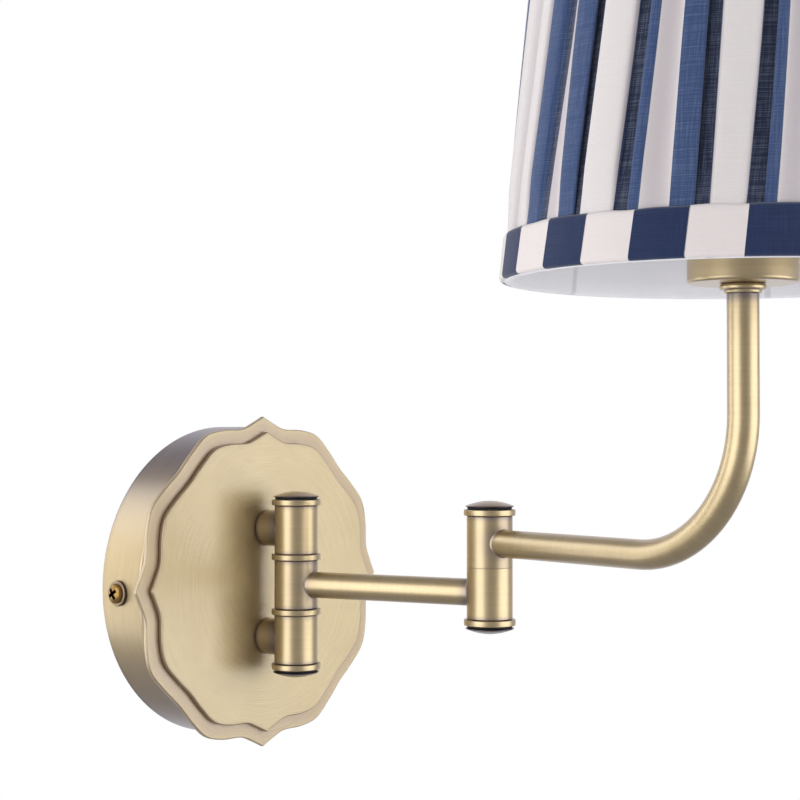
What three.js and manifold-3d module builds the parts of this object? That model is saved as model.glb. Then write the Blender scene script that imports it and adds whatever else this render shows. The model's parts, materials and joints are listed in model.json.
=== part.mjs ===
// A swing arm wall sconce: a round canopy with two scalloped plates, two posts that carry the wall
// pivot, a straight arm, an elbow, a bent arm that turns up, and a pleated shade over its lampholder.
// Millimetres, +Z up. The origin is the middle of the canopy's back, on the wall. The arms reach out
// along -Y, and +X is to the right of someone who faces the wall.
import * as THREE from "three";
import { mergeVertices } from "three/addons/utils/BufferGeometryUtils.js";
import Module from "manifold-3d";

const wasm = await Module();
wasm.setup();

// Clearances
const SEAT = 0.2; // between pieces that rest on each other
const SLIP = 0.3; // round a piece that goes through or into another
const THROUGH = 12; // the length of a tool that cuts through a knuckle's wall

// Canopy and plates
const PAN_RADIUS = 61;
const PAN_DEPTH = 22.4;
const PAN_WALL = 1.2;
const PLATE_POINT_RADIUS = 65; // the four points of the outer plate
const INNER_PLATE_POINT_RADIUS = 59;
const OUTER_PLATE_THICKNESS = 1.8;
const INNER_PLATE_THICKNESS = 2.0;
const OUTER_PLATE_BACK = PAN_DEPTH + SEAT;
const INNER_PLATE_BACK = OUTER_PLATE_BACK + OUTER_PLATE_THICKNESS + SEAT;
const PLATE_FACE = INNER_PLATE_BACK + INNER_PLATE_THICKNESS;
// One eighth of the outline, from a point to the dip between two lobes: [degrees, share of the radius]
const SCALLOP = [
  [0, 1],
  [5, 0.963],
  [11, 0.941],
  [20, 0.976],
  [28, 0.998],
  [37, 0.971],
  [45, 0.955],
];
const SCALLOP_STEPS = 20; // sides between two points
const PAN_SIDES = 44;
const PAN_EDGE = 1.5; // the rounded front edge

// Wall bracket and what is fixed to it
const BRACKET_HALF_LENGTH = 59;
const BRACKET_WIDTH = 16;
const BRACKET_THICKNESS = 2;
const EAR_HEIGHT = 16;
const WALL_SLOT_NEAR = 33; // the slots take screws 70 to 89 mm apart
const WALL_SLOT_FAR = 46;
const WALL_SLOT_WIDTH = 4.6;
const TERMINAL_SIZE = [22, 10, 12];
const TERMINAL_X = 18;
const TERMINAL_ENTRY = [3.4, 4]; // each of the three wire entries
const TERMINAL_PITCH = 6.6;
const EARTH_SCREW_X = -22;
const EARTH_SCREW_SHANK = 1.5;
const EARTH_SCREW_HEAD = 3;
const EARTH_SCREW_HEIGHT = 1.8; // of its head, and the length of its shank
const SIDE_SCREW_DISTANCE = 9.6; // from the wall
const SIDE_SCREW_DROP = 1.5; // below the middle
const SIDE_SCREW_SHANK = 1.9;
const SIDE_SCREW_LENGTH = 7;
const SIDE_SCREW_HEAD = 3.8;
const SIDE_SCREW_HEAD_HEIGHT = 1.9;
const SIDE_WASHER_RADIUS = 4.9;
const SIDE_WASHER_THICKNESS = 1;

// Posts, their nipples and nuts
const POST_RADIUS = 7.05;
const POST_HEIGHT = 21.2; // above and below the middle
const NIPPLE_RADIUS = 3.9;
const NIPPLE_BORE = 2.8;
const NIPPLE_BACK = 12;
const NUT_THICKNESS = 4;
const NUT_ACROSS = 7.4; // centre to corner

// Pivots
const WALL_PIVOT_DISTANCE = 42.5;
const KNUCKLE_RADIUS = 8.4;
const KNUCKLE_HEIGHT = 18.5;
const SWIVEL_HEIGHT = 18.5;
const RING_RADIUS = 9.5;
const RING_HEIGHT = 2.2;
const CAP_RADIUS = 8.9;
const CAP_HEIGHT = 2.3;
const CAP_EDGE = 0.8; // the straight edge under the dome
const CAP_WASHER_RADIUS = 8.2;
const CAP_WASHER_THICKNESS = 0.5;
const PIN_RADIUS = 4.5;
const PIN_BORE = 3.2;
const PIN_WINDOW = 4; // half the height of the window that the flex leaves by
const PIN_WINDOW_BACK = 3; // how far the window reaches behind the axis, for an arm at its limits
const PIN_HOLE = PIN_RADIUS + SLIP;
const CAP_RECESS = 1; // the pin's end goes this far into each cap

// Arms
const TUBE_RADIUS = 5;
const TUBE_BORE = 3.8;
const TUBE_START = 6.9; // where a tube begins, from the axis of the knuckle that holds it
const ARM_1_LENGTH = 83; // wall pivot to elbow
const ARM_2_LENGTH = 124; // elbow to upright
const ARM_1_TURN = 13.2; // degrees from straight out, towards +X
const ARM_2_TURN = -12.3;
const BEND_RADIUS = 46;
const ELBOW_SEAM = 0.4;
const ARM_2_HEIGHT = 18.4; // above arm 1
const FRICTION_WASHER_RADIUS = 6.6;
const FRICTION_WASHER_THICKNESS = 1;
const FRICTION_WASHER_RECESS = 0.8;

// Lampholder and bulb
const UPRIGHT_TOP = 101.4;
const COLLAR_RADIUS = 7.25;
const COLLAR_HEIGHT = 2.8;
const CUP_RADIUS = 17.2;
const CUP_HEIGHT = 17;
const CUP_EDGE = 2.5; // the rounded corner under the cup
const CUP_WALL = 0.9;
const HOLDER_RADIUS = 16.2;
const HOLDER_BORE = 13.9;
const HOLDER_HEIGHT = 46;
const HOLDER_FLOOR = 14; // the solid foot under the bore
const CONTACT_HEIGHT = 3;
const CONTACT_RADIUS = 3;
const NIPPLE_IN_TUBE = 9; // how far the lampholder's nipple goes down the tube
const NIPPLE_IN_HOLDER = 10;
const LAMP_NIPPLE_WALL = 1.1;
const CARRIER_HEIGHT = 37; // above the shade's bottom rim
const SHADE_NUT_RADIUS = 21;
const SHADE_NUT_HEIGHT = 4;
const BULB_CAP_RADIUS = 13.1;
const BULB_RADIUS = 22.5;
const BULB_NECK_RADIUS = 13.4;
const BULB_NECK_HEIGHT = 5;
const BULB_CENTRE_HEIGHT = 27; // of the ball, above the cap
const BULB_GLASS_WALL = 1;
const BULB_CAP_WALL = 0.8;
const BULB_CAP_FOOT = 5; // the height of the insulated cone under the cap
const BULB_CAP_TIP = 4; // the radius of its tip
const BULB_SHOULDER = 4; // the length of the curve between neck and ball

// Shade
const SHADE_BOTTOM = 106;
const SHADE_HEIGHT = 135;
const SHADE_BOTTOM_RADIUS = 75;
const SHADE_TOP_RADIUS = 61;
const HEM_HEIGHT = 13.5;
const HEM_THICKNESS = 0.7;
const COVER_OUT = 0.9; // how far inside the hem's face each layer begins
const COVER_THICKNESS = 0.9;
const WIRE_IN = 3.1;
const WIRE_RADIUS = 1.1;
const LINING_OUT = 4.4;
const LINING_THICKNESS = 0.6;
const STRUTS = 6;
const CARRIER_ARMS = 3;
const CARRIER_FIRST_ARM = 90; // degrees; the others follow evenly
const CARRIER_RADIUS = 22.5;
const CARRIER_THICKNESS = 1.4;
const SHADE_SIDES = 36;

const FLEX_RADIUS = 1.5;
const SIDES = 16; // of a turned piece
const FLEX_SIDES = 6;

const FINISHES = {
  brass: [0xd9c892, 0.35, 1],
  steel: [0xb4b6b8, 0.4, 1],
  bronze: [0x6b5a50, 0.35, 1],
  rubber: [0x1b1b1d, 0.8, 0],
  plastic: [0xe8e6df, 0.5, 0],
  flex: [0xc9a24a, 0.6, 0],
  navy: [0x2a3f6e, 0.95, 0],
  cream: [0xe3dedb, 0.95, 0],
  glass: [0xf4f4f2, 0.2, 0],
};

const sconce = new THREE.Group();
const arm1 = new THREE.Group();
const arm2 = new THREE.Group();
arm1.position.y = -WALL_PIVOT_DISTANCE;
arm1.rotation.z = THREE.MathUtils.degToRad(ARM_1_TURN);
arm2.position.y = -ARM_1_LENGTH;
arm2.rotation.z = THREE.MathUtils.degToRad(ARM_2_TURN - ARM_1_TURN);
sconce.add(arm1);
arm1.add(arm2);

// ---- Helpers ----

function addPiece(group, name, finish, geometry) {
  const [color, roughness, metalness] = FINISHES[finish];
  const mesh = new THREE.Mesh(
    geometry,
    new THREE.MeshStandardMaterial({ color, roughness, metalness }),
  );
  mesh.name = name;
  group.add(mesh);
}

function solidOf(geometry) {
  const bare = geometry.clone();
  bare.deleteAttribute("normal");
  bare.deleteAttribute("uv");
  const merged = mergeVertices(bare, 1e-4);
  const vertProperties = new Float32Array(merged.getAttribute("position").array);
  const triVerts = new Uint32Array(merged.index.array);
  return new wasm.Manifold(new wasm.Mesh({ numProp: 3, vertProperties, triVerts }));
}

function geometryOf(solid) {
  const { vertProperties, triVerts } = solid.getMesh();
  const geometry = new THREE.BufferGeometry();
  geometry.setAttribute("position", new THREE.BufferAttribute(vertProperties, 3));
  geometry.setIndex(new THREE.BufferAttribute(triVerts, 1));
  geometry.computeVertexNormals();
  return geometry;
}

function cut(geometry, ...tools) {
  let solid = solidOf(geometry);
  for (const tool of tools) solid = solid.subtract(solidOf(tool));
  return geometryOf(solid);
}

function join(geometry, ...others) {
  let solid = solidOf(geometry);
  for (const other of others) solid = solid.add(solidOf(other));
  return geometryOf(solid);
}

function polar(radius, degrees) {
  const angle = THREE.MathUtils.degToRad(degrees);
  return new THREE.Vector2(radius * Math.cos(angle), radius * Math.sin(angle));
}

// A solid turned about Z from [radius, height] points, anticlockwise with the axis on the left.
// A profile that doesn't start on the axis closes on itself, and makes a ring or a shell.
function turned(profile, sides = SIDES) {
  const points = profile.map(([radius, height]) => new THREE.Vector2(radius, height));
  if (profile[0][0] > 0) points.push(points[0].clone());
  return new THREE.LatheGeometry(points, sides).rotateX(Math.PI / 2);
}

// A round bar or bush about Z from low to high, with a bore where one is given.
function bar(radius, low, high, bore = 0, sides = SIDES) {
  return turned([[bore, low], [radius, low], [radius, high], [bore, high]], sides);
}

// Turns a piece made about Z so that its heights run out from the wall along -Y.
function outFromWall(geometry) {
  return geometry.rotateX(Math.PI / 2);
}

function block([x, y, z], [centreX, centreY, centreZ]) {
  return new THREE.BoxGeometry(x, y, z).translate(centreX, centreY, centreZ);
}

function roundOutline(radius, sides) {
  const corners = [];
  for (let i = 0; i < sides; i++) corners.push(polar(radius, (i * 360) / sides));
  return corners;
}

// A tube along a path, hollow where a bore is given.
function tubeAlong(path, radius, steps, sides, bore = 0) {
  const section = new THREE.Shape(roundOutline(radius, sides));
  if (bore > 0) section.holes.push(new THREE.Path(roundOutline(bore, sides)));
  return new THREE.ExtrudeGeometry(section, { steps, extrudePath: path });
}

function rod(from, to, radius, sides = 8) {
  return tubeAlong(new THREE.LineCurve3(from, to), radius, 1, sides);
}

// ---- Canopy, plates and bracket ----

// Heights are distances from the wall: the pan is open at the back and closed at the front.
function canopyPan() {
  const inside = PAN_RADIUS - PAN_WALL;
  const shell = turned(
    [
      [0, PAN_DEPTH - PAN_WALL],
      [inside, PAN_DEPTH - PAN_WALL],
      [inside, 0],
      [PAN_RADIUS, 0],
      [PAN_RADIUS, PAN_DEPTH - PAN_EDGE],
      [PAN_RADIUS - PAN_EDGE * 0.3, PAN_DEPTH - PAN_EDGE * 0.3],
      [PAN_RADIUS - PAN_EDGE, PAN_DEPTH],
      [0, PAN_DEPTH],
    ],
    PAN_SIDES,
  );
  const holes = [POST_HEIGHT, -POST_HEIGHT].map((z) =>
    outFromWall(bar(NIPPLE_RADIUS + SLIP, 0, PAN_DEPTH + 1)).translate(0, 0, z),
  );
  const screwHole = rod(
    new THREE.Vector3(-PAN_RADIUS - 1, -SIDE_SCREW_DISTANCE, -SIDE_SCREW_DROP),
    new THREE.Vector3(PAN_RADIUS + 1, -SIDE_SCREW_DISTANCE, -SIDE_SCREW_DROP),
    SIDE_SCREW_SHANK + SLIP,
    SIDES,
  );
  return cut(outFromWall(shell), ...holes, screwHole);
}

function scallopedPlate(pointRadius, back, thickness) {
  const shape = new THREE.Shape();
  for (let quarter = 0; quarter < 4; quarter++) {
    const mirrored = SCALLOP.slice(0, -1)
      .reverse()
      .map(([degrees, share]) => [90 - degrees, share]);
    const corners = [...SCALLOP, ...mirrored].map(([degrees, share]) =>
      polar(share * pointRadius, degrees + quarter * 90),
    );
    const run = new THREE.SplineCurve(corners).getPoints(SCALLOP_STEPS);
    for (const point of run.slice(0, -1)) {
      if (shape.currentPoint.lengthSq() === 0) shape.moveTo(point.x, point.y);
      else shape.lineTo(point.x, point.y);
    }
  }
  for (const z of [POST_HEIGHT, -POST_HEIGHT]) {
    const hole = roundOutline(NIPPLE_RADIUS + SLIP, SIDES).map((p) => p.setY(p.y + z));
    shape.holes.push(new THREE.Path(hole));
  }
  const plate = new THREE.ExtrudeGeometry(shape, { depth: thickness, bevelEnabled: false });
  return outFromWall(plate.translate(0, 0, back));
}

// A bar across the pan with an ear turned up at each end, which a side screw threads into.
function wallBracket() {
  const length = 2 * BRACKET_HALF_LENGTH;
  const strap = block([length, BRACKET_THICKNESS, BRACKET_WIDTH], [0, -BRACKET_THICKNESS / 2, 0]);
  const reach = BRACKET_THICKNESS + 1;
  const ears = [];
  const cuts = [];
  for (const side of [-1, 1]) {
    const earX = side * (BRACKET_HALF_LENGTH - BRACKET_THICKNESS / 2);
    ears.push(block([BRACKET_THICKNESS, EAR_HEIGHT, BRACKET_WIDTH - 2], [earX, -EAR_HEIGHT / 2, 0]));
    const slotLength = WALL_SLOT_FAR - WALL_SLOT_NEAR;
    const slotX = (side * (WALL_SLOT_FAR + WALL_SLOT_NEAR)) / 2;
    cuts.push(block([slotLength, 3 * BRACKET_THICKNESS, WALL_SLOT_WIDTH], [slotX, 0, 0]));
    cuts.push(
      rod(
        new THREE.Vector3(earX - side * reach, -SIDE_SCREW_DISTANCE, -SIDE_SCREW_DROP),
        new THREE.Vector3(earX + side * reach, -SIDE_SCREW_DISTANCE, -SIDE_SCREW_DROP),
        SIDE_SCREW_SHANK + SLIP,
        SIDES,
      ),
    );
  }
  const earthHole = outFromWall(bar(EARTH_SCREW_SHANK + SLIP, -1, reach));
  cuts.push(earthHole.translate(EARTH_SCREW_X, 0, 0));
  return cut(join(strap, ...ears), ...cuts);
}

// A pan-head screw about Z, its shank below height 0 and its head above, with a crossed recess.
function screw(shankRadius, shankLength, headRadius, headHeight) {
  const body = turned([
    [0, -shankLength],
    [shankRadius, -shankLength],
    [shankRadius, 0],
    [headRadius, 0],
    [headRadius, headHeight * 0.45],
    [headRadius * 0.8, headHeight * 0.85],
    [0, headHeight],
  ]);
  const slotLength = headRadius * 1.1;
  const slotWidth = headRadius * 0.28;
  const slots = [
    block([slotLength, slotWidth, headHeight], [0, 0, headHeight]),
    block([slotWidth, slotLength, headHeight], [0, 0, headHeight]),
  ];
  return cut(body, ...slots);
}

function terminalBlock() {
  const [x, y, z] = TERMINAL_SIZE;
  const centre = [TERMINAL_X, -BRACKET_THICKNESS - SEAT - y / 2, 0];
  const entries = [-1, 0, 1].map((i) =>
    block([...TERMINAL_ENTRY, z + 2], [TERMINAL_X + i * TERMINAL_PITCH, centre[1], 0]),
  );
  return cut(block([x, y, z], centre), ...entries);
}

// ---- Pivots ----

function ring(low) {
  return bar(RING_RADIUS, low, low + RING_HEIGHT, PIN_HOLE);
}

// The domed cap that screws onto the pin's end, sitting on height 0 with its dome above.
function cap() {
  const profile = [
    [0, CAP_RECESS],
    [PIN_HOLE, CAP_RECESS],
    [PIN_HOLE, 0],
    [CAP_RADIUS, 0],
    [CAP_RADIUS, CAP_EDGE],
  ];
  const domeSteps = 3;
  for (let i = 1; i <= domeSteps; i++) {
    const share = 1 - i / domeSteps;
    const rise = (CAP_HEIGHT - CAP_EDGE) * (1 - share * share);
    profile.push([CAP_RADIUS * share, CAP_EDGE + rise]);
  }
  return turned(profile);
}

// The rings, washers and caps above and below a pivot, given the top and bottom of its knuckles.
function pivotStack(low, high) {
  const ringLow = high + SEAT;
  const washerLow = ringLow + RING_HEIGHT + SEAT;
  const capLow = washerLow + CAP_WASHER_THICKNESS + SEAT;
  const washer = () =>
    bar(CAP_WASHER_RADIUS, washerLow, washerLow + CAP_WASHER_THICKNESS, PIN_HOLE);
  const flip = (geometry) => geometry.rotateX(Math.PI).translate(0, 0, low + high);
  return {
    topRing: ring(ringLow),
    bottomRing: flip(ring(ringLow)),
    topWasher: washer(),
    bottomWasher: flip(washer()),
    topCap: cap().translate(0, 0, capLow),
    bottomCap: flip(cap().translate(0, 0, capLow)),
    pinLow: low + high - capLow - CAP_RECESS + SEAT,
    pinHigh: capLow + CAP_RECESS - SEAT,
  };
}

// A knuckle with a hole for the pin, and a socket for a tube or nipple that comes in along -Y.
function knuckle(low, height, socketRadius, socketHeight) {
  const body = bar(KNUCKLE_RADIUS, low, low + height, PIN_HOLE);
  const passage = outFromWall(bar(FLEX_RADIUS + 1, 0, THROUGH));
  const socket = outFromWall(bar(socketRadius + SLIP, TUBE_START - SLIP, THROUGH));
  return cut(body, passage.translate(0, 0, socketHeight), socket.translate(0, 0, socketHeight));
}

// The pin with a small hole for the flex on +Y and a wide window for it on -Y, where it turns.
function hollowPin(low, high, holeHeight, windowHeight) {
  const tube = bar(PIN_RADIUS, low, high, PIN_BORE);
  const windowDepth = 2 * PIN_RADIUS;
  const hole = block(
    [2 * NIPPLE_BORE, windowDepth, 2 * PIN_WINDOW],
    [0, windowDepth / 2, holeHeight],
  );
  const window = block(
    [3 * PIN_RADIUS, windowDepth, 2 * PIN_WINDOW],
    [0, PIN_WINDOW_BACK - windowDepth / 2, windowHeight],
  );
  return cut(tube, hole, window);
}

// ---- Arms ----

function straightTube() {
  const path = new THREE.LineCurve3(
    new THREE.Vector3(0, -TUBE_START, 0),
    new THREE.Vector3(0, -(ARM_1_LENGTH - TUBE_START), 0),
  );
  return tubeAlong(path, TUBE_RADIUS, 1, 16, TUBE_BORE);
}

// Out along -Y from distance start, round a quarter bend, and up to height top.
function bentPath(start, top) {
  const bendY = -(ARM_2_LENGTH - BEND_RADIUS);
  const path = new THREE.CurvePath();
  const bendTop = ARM_2_HEIGHT + BEND_RADIUS;
  path.add(
    new THREE.LineCurve3(
      new THREE.Vector3(0, -start, ARM_2_HEIGHT),
      new THREE.Vector3(0, bendY, ARM_2_HEIGHT),
    ),
  );
  const bend = new THREE.Curve();
  bend.getPoint = (t, target = new THREE.Vector3()) => {
    const turn = (t * Math.PI) / 2;
    return target.set(
      0,
      bendY - BEND_RADIUS * Math.sin(turn),
      bendTop - BEND_RADIUS * Math.cos(turn),
    );
  };
  path.add(bend);
  path.add(
    new THREE.LineCurve3(
      new THREE.Vector3(0, -ARM_2_LENGTH, bendTop),
      new THREE.Vector3(0, -ARM_2_LENGTH, top),
    ),
  );
  return path;
}

// ---- Lampholder and bulb ----

function collar() {
  const low = UPRIGHT_TOP + SEAT;
  const high = low + COLLAR_HEIGHT;
  return turned([
    [NIPPLE_RADIUS + SLIP, low],
    [COLLAR_RADIUS - 0.6, low],
    [COLLAR_RADIUS, (low + high) / 2],
    [COLLAR_RADIUS - 0.6, high],
    [NIPPLE_RADIUS + SLIP, high],
  ]);
}

// A corner of the cup, turned from straight down to straight out in a few steps.
function cupCorner(radius, edge, bottom) {
  const steps = 3;
  const corner = [];
  for (let i = 0; i <= steps; i++) {
    const turn = (i * Math.PI) / 2 / steps;
    corner.push([
      radius - edge + edge * Math.sin(turn),
      bottom + edge - edge * Math.cos(turn),
    ]);
  }
  return corner;
}

function lampholderCup(bottom) {
  const outside = cupCorner(CUP_RADIUS, CUP_EDGE, bottom);
  const inside = cupCorner(CUP_RADIUS - CUP_WALL, CUP_EDGE - CUP_WALL, bottom + CUP_WALL);
  return turned(
    [
      [NIPPLE_RADIUS + SLIP, bottom],
      ...outside,
      [CUP_RADIUS, bottom + CUP_HEIGHT],
      [CUP_RADIUS - CUP_WALL, bottom + CUP_HEIGHT],
      ...inside.reverse(),
      [NIPPLE_RADIUS + SLIP, bottom + CUP_WALL],
    ],
    24,
  );
}

// The holder's insulated body: a foot in the cup, and a bore that takes the bulb's cap.
function lampholderBody(bottom, boreBottom) {
  const shoulder = bottom + CUP_EDGE;
  return turned([
    [NIPPLE_RADIUS + SLIP, bottom],
    [HOLDER_RADIUS - CUP_EDGE - SLIP, bottom],
    [HOLDER_RADIUS - SLIP, shoulder],
    [HOLDER_RADIUS - SLIP, bottom + HOLDER_HEIGHT],
    [HOLDER_BORE, bottom + HOLDER_HEIGHT],
    [HOLDER_BORE, boreBottom],
    [NIPPLE_RADIUS + SLIP, boreBottom],
  ]);
}

function bulbCap(low, high) {
  const inside = BULB_CAP_RADIUS - BULB_CAP_WALL;
  const floor = low + BULB_CAP_FOOT;
  return turned([
    [0, floor + BULB_CAP_WALL],
    [inside - 1, floor + BULB_CAP_WALL],
    [inside, high],
    [BULB_CAP_RADIUS, high],
    [BULB_CAP_RADIUS, floor + 1],
    [BULB_CAP_RADIUS - 1, floor],
    [BULB_CAP_TIP, low],
    [0, low],
  ].reverse());
}

// One wall of the bulb's glass, from the pole of its ball down to the foot of its neck.
function bulbWall(inset, low) {
  const centre = low + BULB_CENTRE_HEIGHT;
  const radius = BULB_RADIUS - inset;
  const shoulder = BULB_NECK_HEIGHT + BULB_SHOULDER;
  const neckTop = Math.asin((shoulder - BULB_CENTRE_HEIGHT) / BULB_RADIUS);
  const steps = 5;
  const wall = [[0, centre + radius]];
  for (let i = 1; i <= steps; i++) {
    const turn = Math.PI / 2 + ((neckTop - Math.PI / 2) * i) / steps;
    wall.push([radius * Math.cos(turn), centre + radius * Math.sin(turn)]);
  }
  wall.push([BULB_NECK_RADIUS - inset, low + BULB_NECK_HEIGHT], [BULB_NECK_RADIUS - inset, low]);
  return wall;
}

// A round bulb of thin glass, open at the foot of its neck, where its cap closes it.
function bulbGlass(low) {
  return turned([...bulbWall(BULB_GLASS_WALL, low), ...bulbWall(0, low).reverse()], 20);
}

// ---- Shade ----

// The radius of the hem's face at a height above the shade's bottom rim.
function rim(height) {
  return SHADE_BOTTOM_RADIUS - ((SHADE_BOTTOM_RADIUS - SHADE_TOP_RADIUS) * height) / SHADE_HEIGHT;
}

// A cone-shaped layer of the shade, out and thick measured inwards from the hem's face.
function layer(out, thick, low, high) {
  return turned(
    [
      [rim(low) - out - thick, low],
      [rim(low) - out, low],
      [rim(high) - out, high],
      [rim(high) - out - thick, high],
    ],
    SHADE_SIDES,
  );
}

// A band outside the cover that turns in over the rim: at the bottom, or flipped for the top.
function hem(atTop) {
  const end = atTop ? SHADE_HEIGHT : 0;
  const inward = atTop ? -1 : 1;
  const inner = LINING_OUT + LINING_THICKNESS;
  const heights = {
    rim: end,
    turn: end + inward * HEM_THICKNESS,
    edge: end + inward * HEM_HEIGHT,
  };
  const profile = [
    [rim(heights.rim) - inner, heights.rim],
    [rim(heights.rim), heights.rim],
    [rim(heights.edge), heights.edge],
    [rim(heights.edge) - HEM_THICKNESS, heights.edge],
    [rim(heights.turn) - HEM_THICKNESS, heights.turn],
    [rim(heights.turn) - inner, heights.turn],
  ];
  return turned(atTop ? profile.reverse() : profile, SHADE_SIDES);
}

// The wire rings at the rims and the struts soldered between them.
function shadeFrame() {
  const wireInset = HEM_THICKNESS + SLIP + WIRE_RADIUS;
  const heights = [wireInset, SHADE_HEIGHT - wireInset];
  const rings = heights.map((z) =>
    new THREE.TorusGeometry(rim(z) - WIRE_IN, WIRE_RADIUS, 4, SHADE_SIDES).translate(0, 0, z),
  );
  const struts = [];
  for (let i = 0; i < STRUTS; i++) {
    const [foot, head] = heights.map((z) => {
      const { x, y } = polar(rim(z) - WIRE_IN, CARRIER_FIRST_ARM + (i * 360) / STRUTS);
      return new THREE.Vector3(x, y, z);
    });
    struts.push(rod(foot, head, WIRE_RADIUS * 0.9, 6));
  }
  return join(...rings, ...struts);
}

// Where the carrier's arms run: from the carrier ring out to a strut.
function carrierArmEnds(index, height, reach) {
  const degrees = CARRIER_FIRST_ARM + (index * 360) / CARRIER_ARMS;
  const inner = polar(CARRIER_RADIUS - 1, degrees);
  const outer = polar(reach, degrees);
  return [
    new THREE.Vector3(inner.x, inner.y, height),
    new THREE.Vector3(outer.x, outer.y, height),
  ];
}

function shadeLining(armHeight) {
  const low = HEM_THICKNESS + SLIP;
  const body = layer(LINING_OUT, LINING_THICKNESS, low, SHADE_HEIGHT - low);
  const holes = [];
  for (let i = 0; i < CARRIER_ARMS; i++) {
    const [inner, outer] = carrierArmEnds(i, armHeight, SHADE_BOTTOM_RADIUS + 2);
    holes.push(rod(inner, outer, WIRE_RADIUS + SLIP));
  }
  return cut(body, ...holes);
}

function shadeCarrier(armHeight) {
  const half = CARRIER_THICKNESS / 2;
  const washer = bar(CARRIER_RADIUS, armHeight - half, armHeight + half, HOLDER_RADIUS + 2 * SLIP);
  const reach = rim(armHeight) - WIRE_IN - WIRE_RADIUS - SLIP;
  const arms = [];
  for (let i = 0; i < CARRIER_ARMS; i++) {
    arms.push(rod(...carrierArmEnds(i, armHeight, reach), WIRE_RADIUS));
  }
  return join(washer, ...arms);
}

// ---- Wall side ----

addPiece(sconce, "wall_bracket", "steel", wallBracket());
addPiece(sconce, "canopy_pan", "brass", canopyPan());
addPiece(
  sconce,
  "outer_plate",
  "brass",
  scallopedPlate(PLATE_POINT_RADIUS, OUTER_PLATE_BACK, OUTER_PLATE_THICKNESS),
);
addPiece(
  sconce,
  "inner_plate",
  "brass",
  scallopedPlate(INNER_PLATE_POINT_RADIUS, INNER_PLATE_BACK, INNER_PLATE_THICKNESS),
);
addPiece(sconce, "terminal_block", "plastic", terminalBlock());
addPiece(
  sconce,
  "earth_screw",
  "brass",
  outFromWall(
    screw(EARTH_SCREW_SHANK, EARTH_SCREW_HEIGHT, EARTH_SCREW_HEAD, EARTH_SCREW_HEIGHT),
  ).translate(EARTH_SCREW_X, -BRACKET_THICKNESS - SEAT, 0),
);

for (const [side, sign] of [["left", -1], ["right", 1]]) {
  const place = (geometry) =>
    geometry
      .rotateY((sign * Math.PI) / 2)
      .translate(0, -SIDE_SCREW_DISTANCE, -SIDE_SCREW_DROP);
  const washerLow = PAN_RADIUS + SEAT;
  const washerHigh = washerLow + SIDE_WASHER_THICKNESS;
  const washer = bar(SIDE_WASHER_RADIUS, washerLow, washerHigh, SIDE_SCREW_SHANK + SLIP);
  const fixing = screw(
    SIDE_SCREW_SHANK,
    SIDE_SCREW_LENGTH,
    SIDE_SCREW_HEAD,
    SIDE_SCREW_HEAD_HEIGHT,
  ).translate(0, 0, washerHigh + SEAT);
  addPiece(sconce, `side_washer_${side}`, "bronze", place(washer));
  addPiece(sconce, `side_screw_${side}`, "brass", place(fixing));
}

const swivelTop = SWIVEL_HEIGHT / 2;
const fixedLow = swivelTop + 2 * SEAT + RING_HEIGHT;
const fixedHigh = fixedLow + KNUCKLE_HEIGHT;
const wallStack = pivotStack(-fixedHigh, fixedHigh);
const atWallPivot = (geometry) => geometry.translate(0, -WALL_PIVOT_DISTANCE, 0);

// The post's front end is hollowed to fit round the knuckle.
function post(z) {
  const body = bar(POST_RADIUS, PLATE_FACE + SEAT, WALL_PIVOT_DISTANCE, NIPPLE_RADIUS + SLIP);
  const saddle = bar(KNUCKLE_RADIUS + SLIP, z - THROUGH, z + THROUGH, 0, 2 * SIDES);
  return cut(outFromWall(body).translate(0, 0, z), atWallPivot(saddle));
}

for (const [level, sign] of [["upper", 1], ["lower", -1]]) {
  const z = sign * POST_HEIGHT;
  const nippleFront = WALL_PIVOT_DISTANCE - TUBE_START;
  const nutBack = PAN_DEPTH - PAN_WALL - SEAT - NUT_THICKNESS;
  const nipple = bar(NIPPLE_RADIUS, NIPPLE_BACK, nippleFront, NIPPLE_BORE);
  const nut = cut(
    bar(NUT_ACROSS, nutBack, nutBack + NUT_THICKNESS, 0, 6),
    bar(NIPPLE_RADIUS + SLIP, nutBack - 1, nutBack + NUT_THICKNESS + 1),
  );
  addPiece(sconce, `${level}_post`, "brass", post(z));
  addPiece(sconce, `${level}_post_nipple`, "steel", outFromWall(nipple).translate(0, 0, z));
  addPiece(sconce, `${level}_post_nut`, "brass", outFromWall(nut).translate(0, 0, z));
  // This knuckle's socket faces the wall.
  const low = sign > 0 ? fixedLow : -fixedHigh;
  const body = knuckle(low, KNUCKLE_HEIGHT, NIPPLE_RADIUS, z).rotateZ(Math.PI);
  addPiece(sconce, `wall_pivot_${level}_knuckle`, "brass", atWallPivot(body));
  const ringLow = sign > 0 ? swivelTop + SEAT : -swivelTop - SEAT - RING_HEIGHT;
  addPiece(sconce, `wall_pivot_${level}_bearing_ring`, "brass", atWallPivot(ring(ringLow)));
}

addPiece(sconce, "wall_pivot_top_ring", "brass", atWallPivot(wallStack.topRing));
addPiece(sconce, "wall_pivot_bottom_ring", "brass", atWallPivot(wallStack.bottomRing));
addPiece(sconce, "wall_pivot_top_washer", "rubber", atWallPivot(wallStack.topWasher));
addPiece(sconce, "wall_pivot_bottom_washer", "rubber", atWallPivot(wallStack.bottomWasher));
addPiece(sconce, "wall_pivot_top_cap", "bronze", atWallPivot(wallStack.topCap));
addPiece(sconce, "wall_pivot_bottom_cap", "bronze", atWallPivot(wallStack.bottomCap));
addPiece(
  sconce,
  "wall_pivot_pin",
  "steel",
  atWallPivot(hollowPin(wallStack.pinLow, wallStack.pinHigh, POST_HEIGHT, 0)),
);

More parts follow.
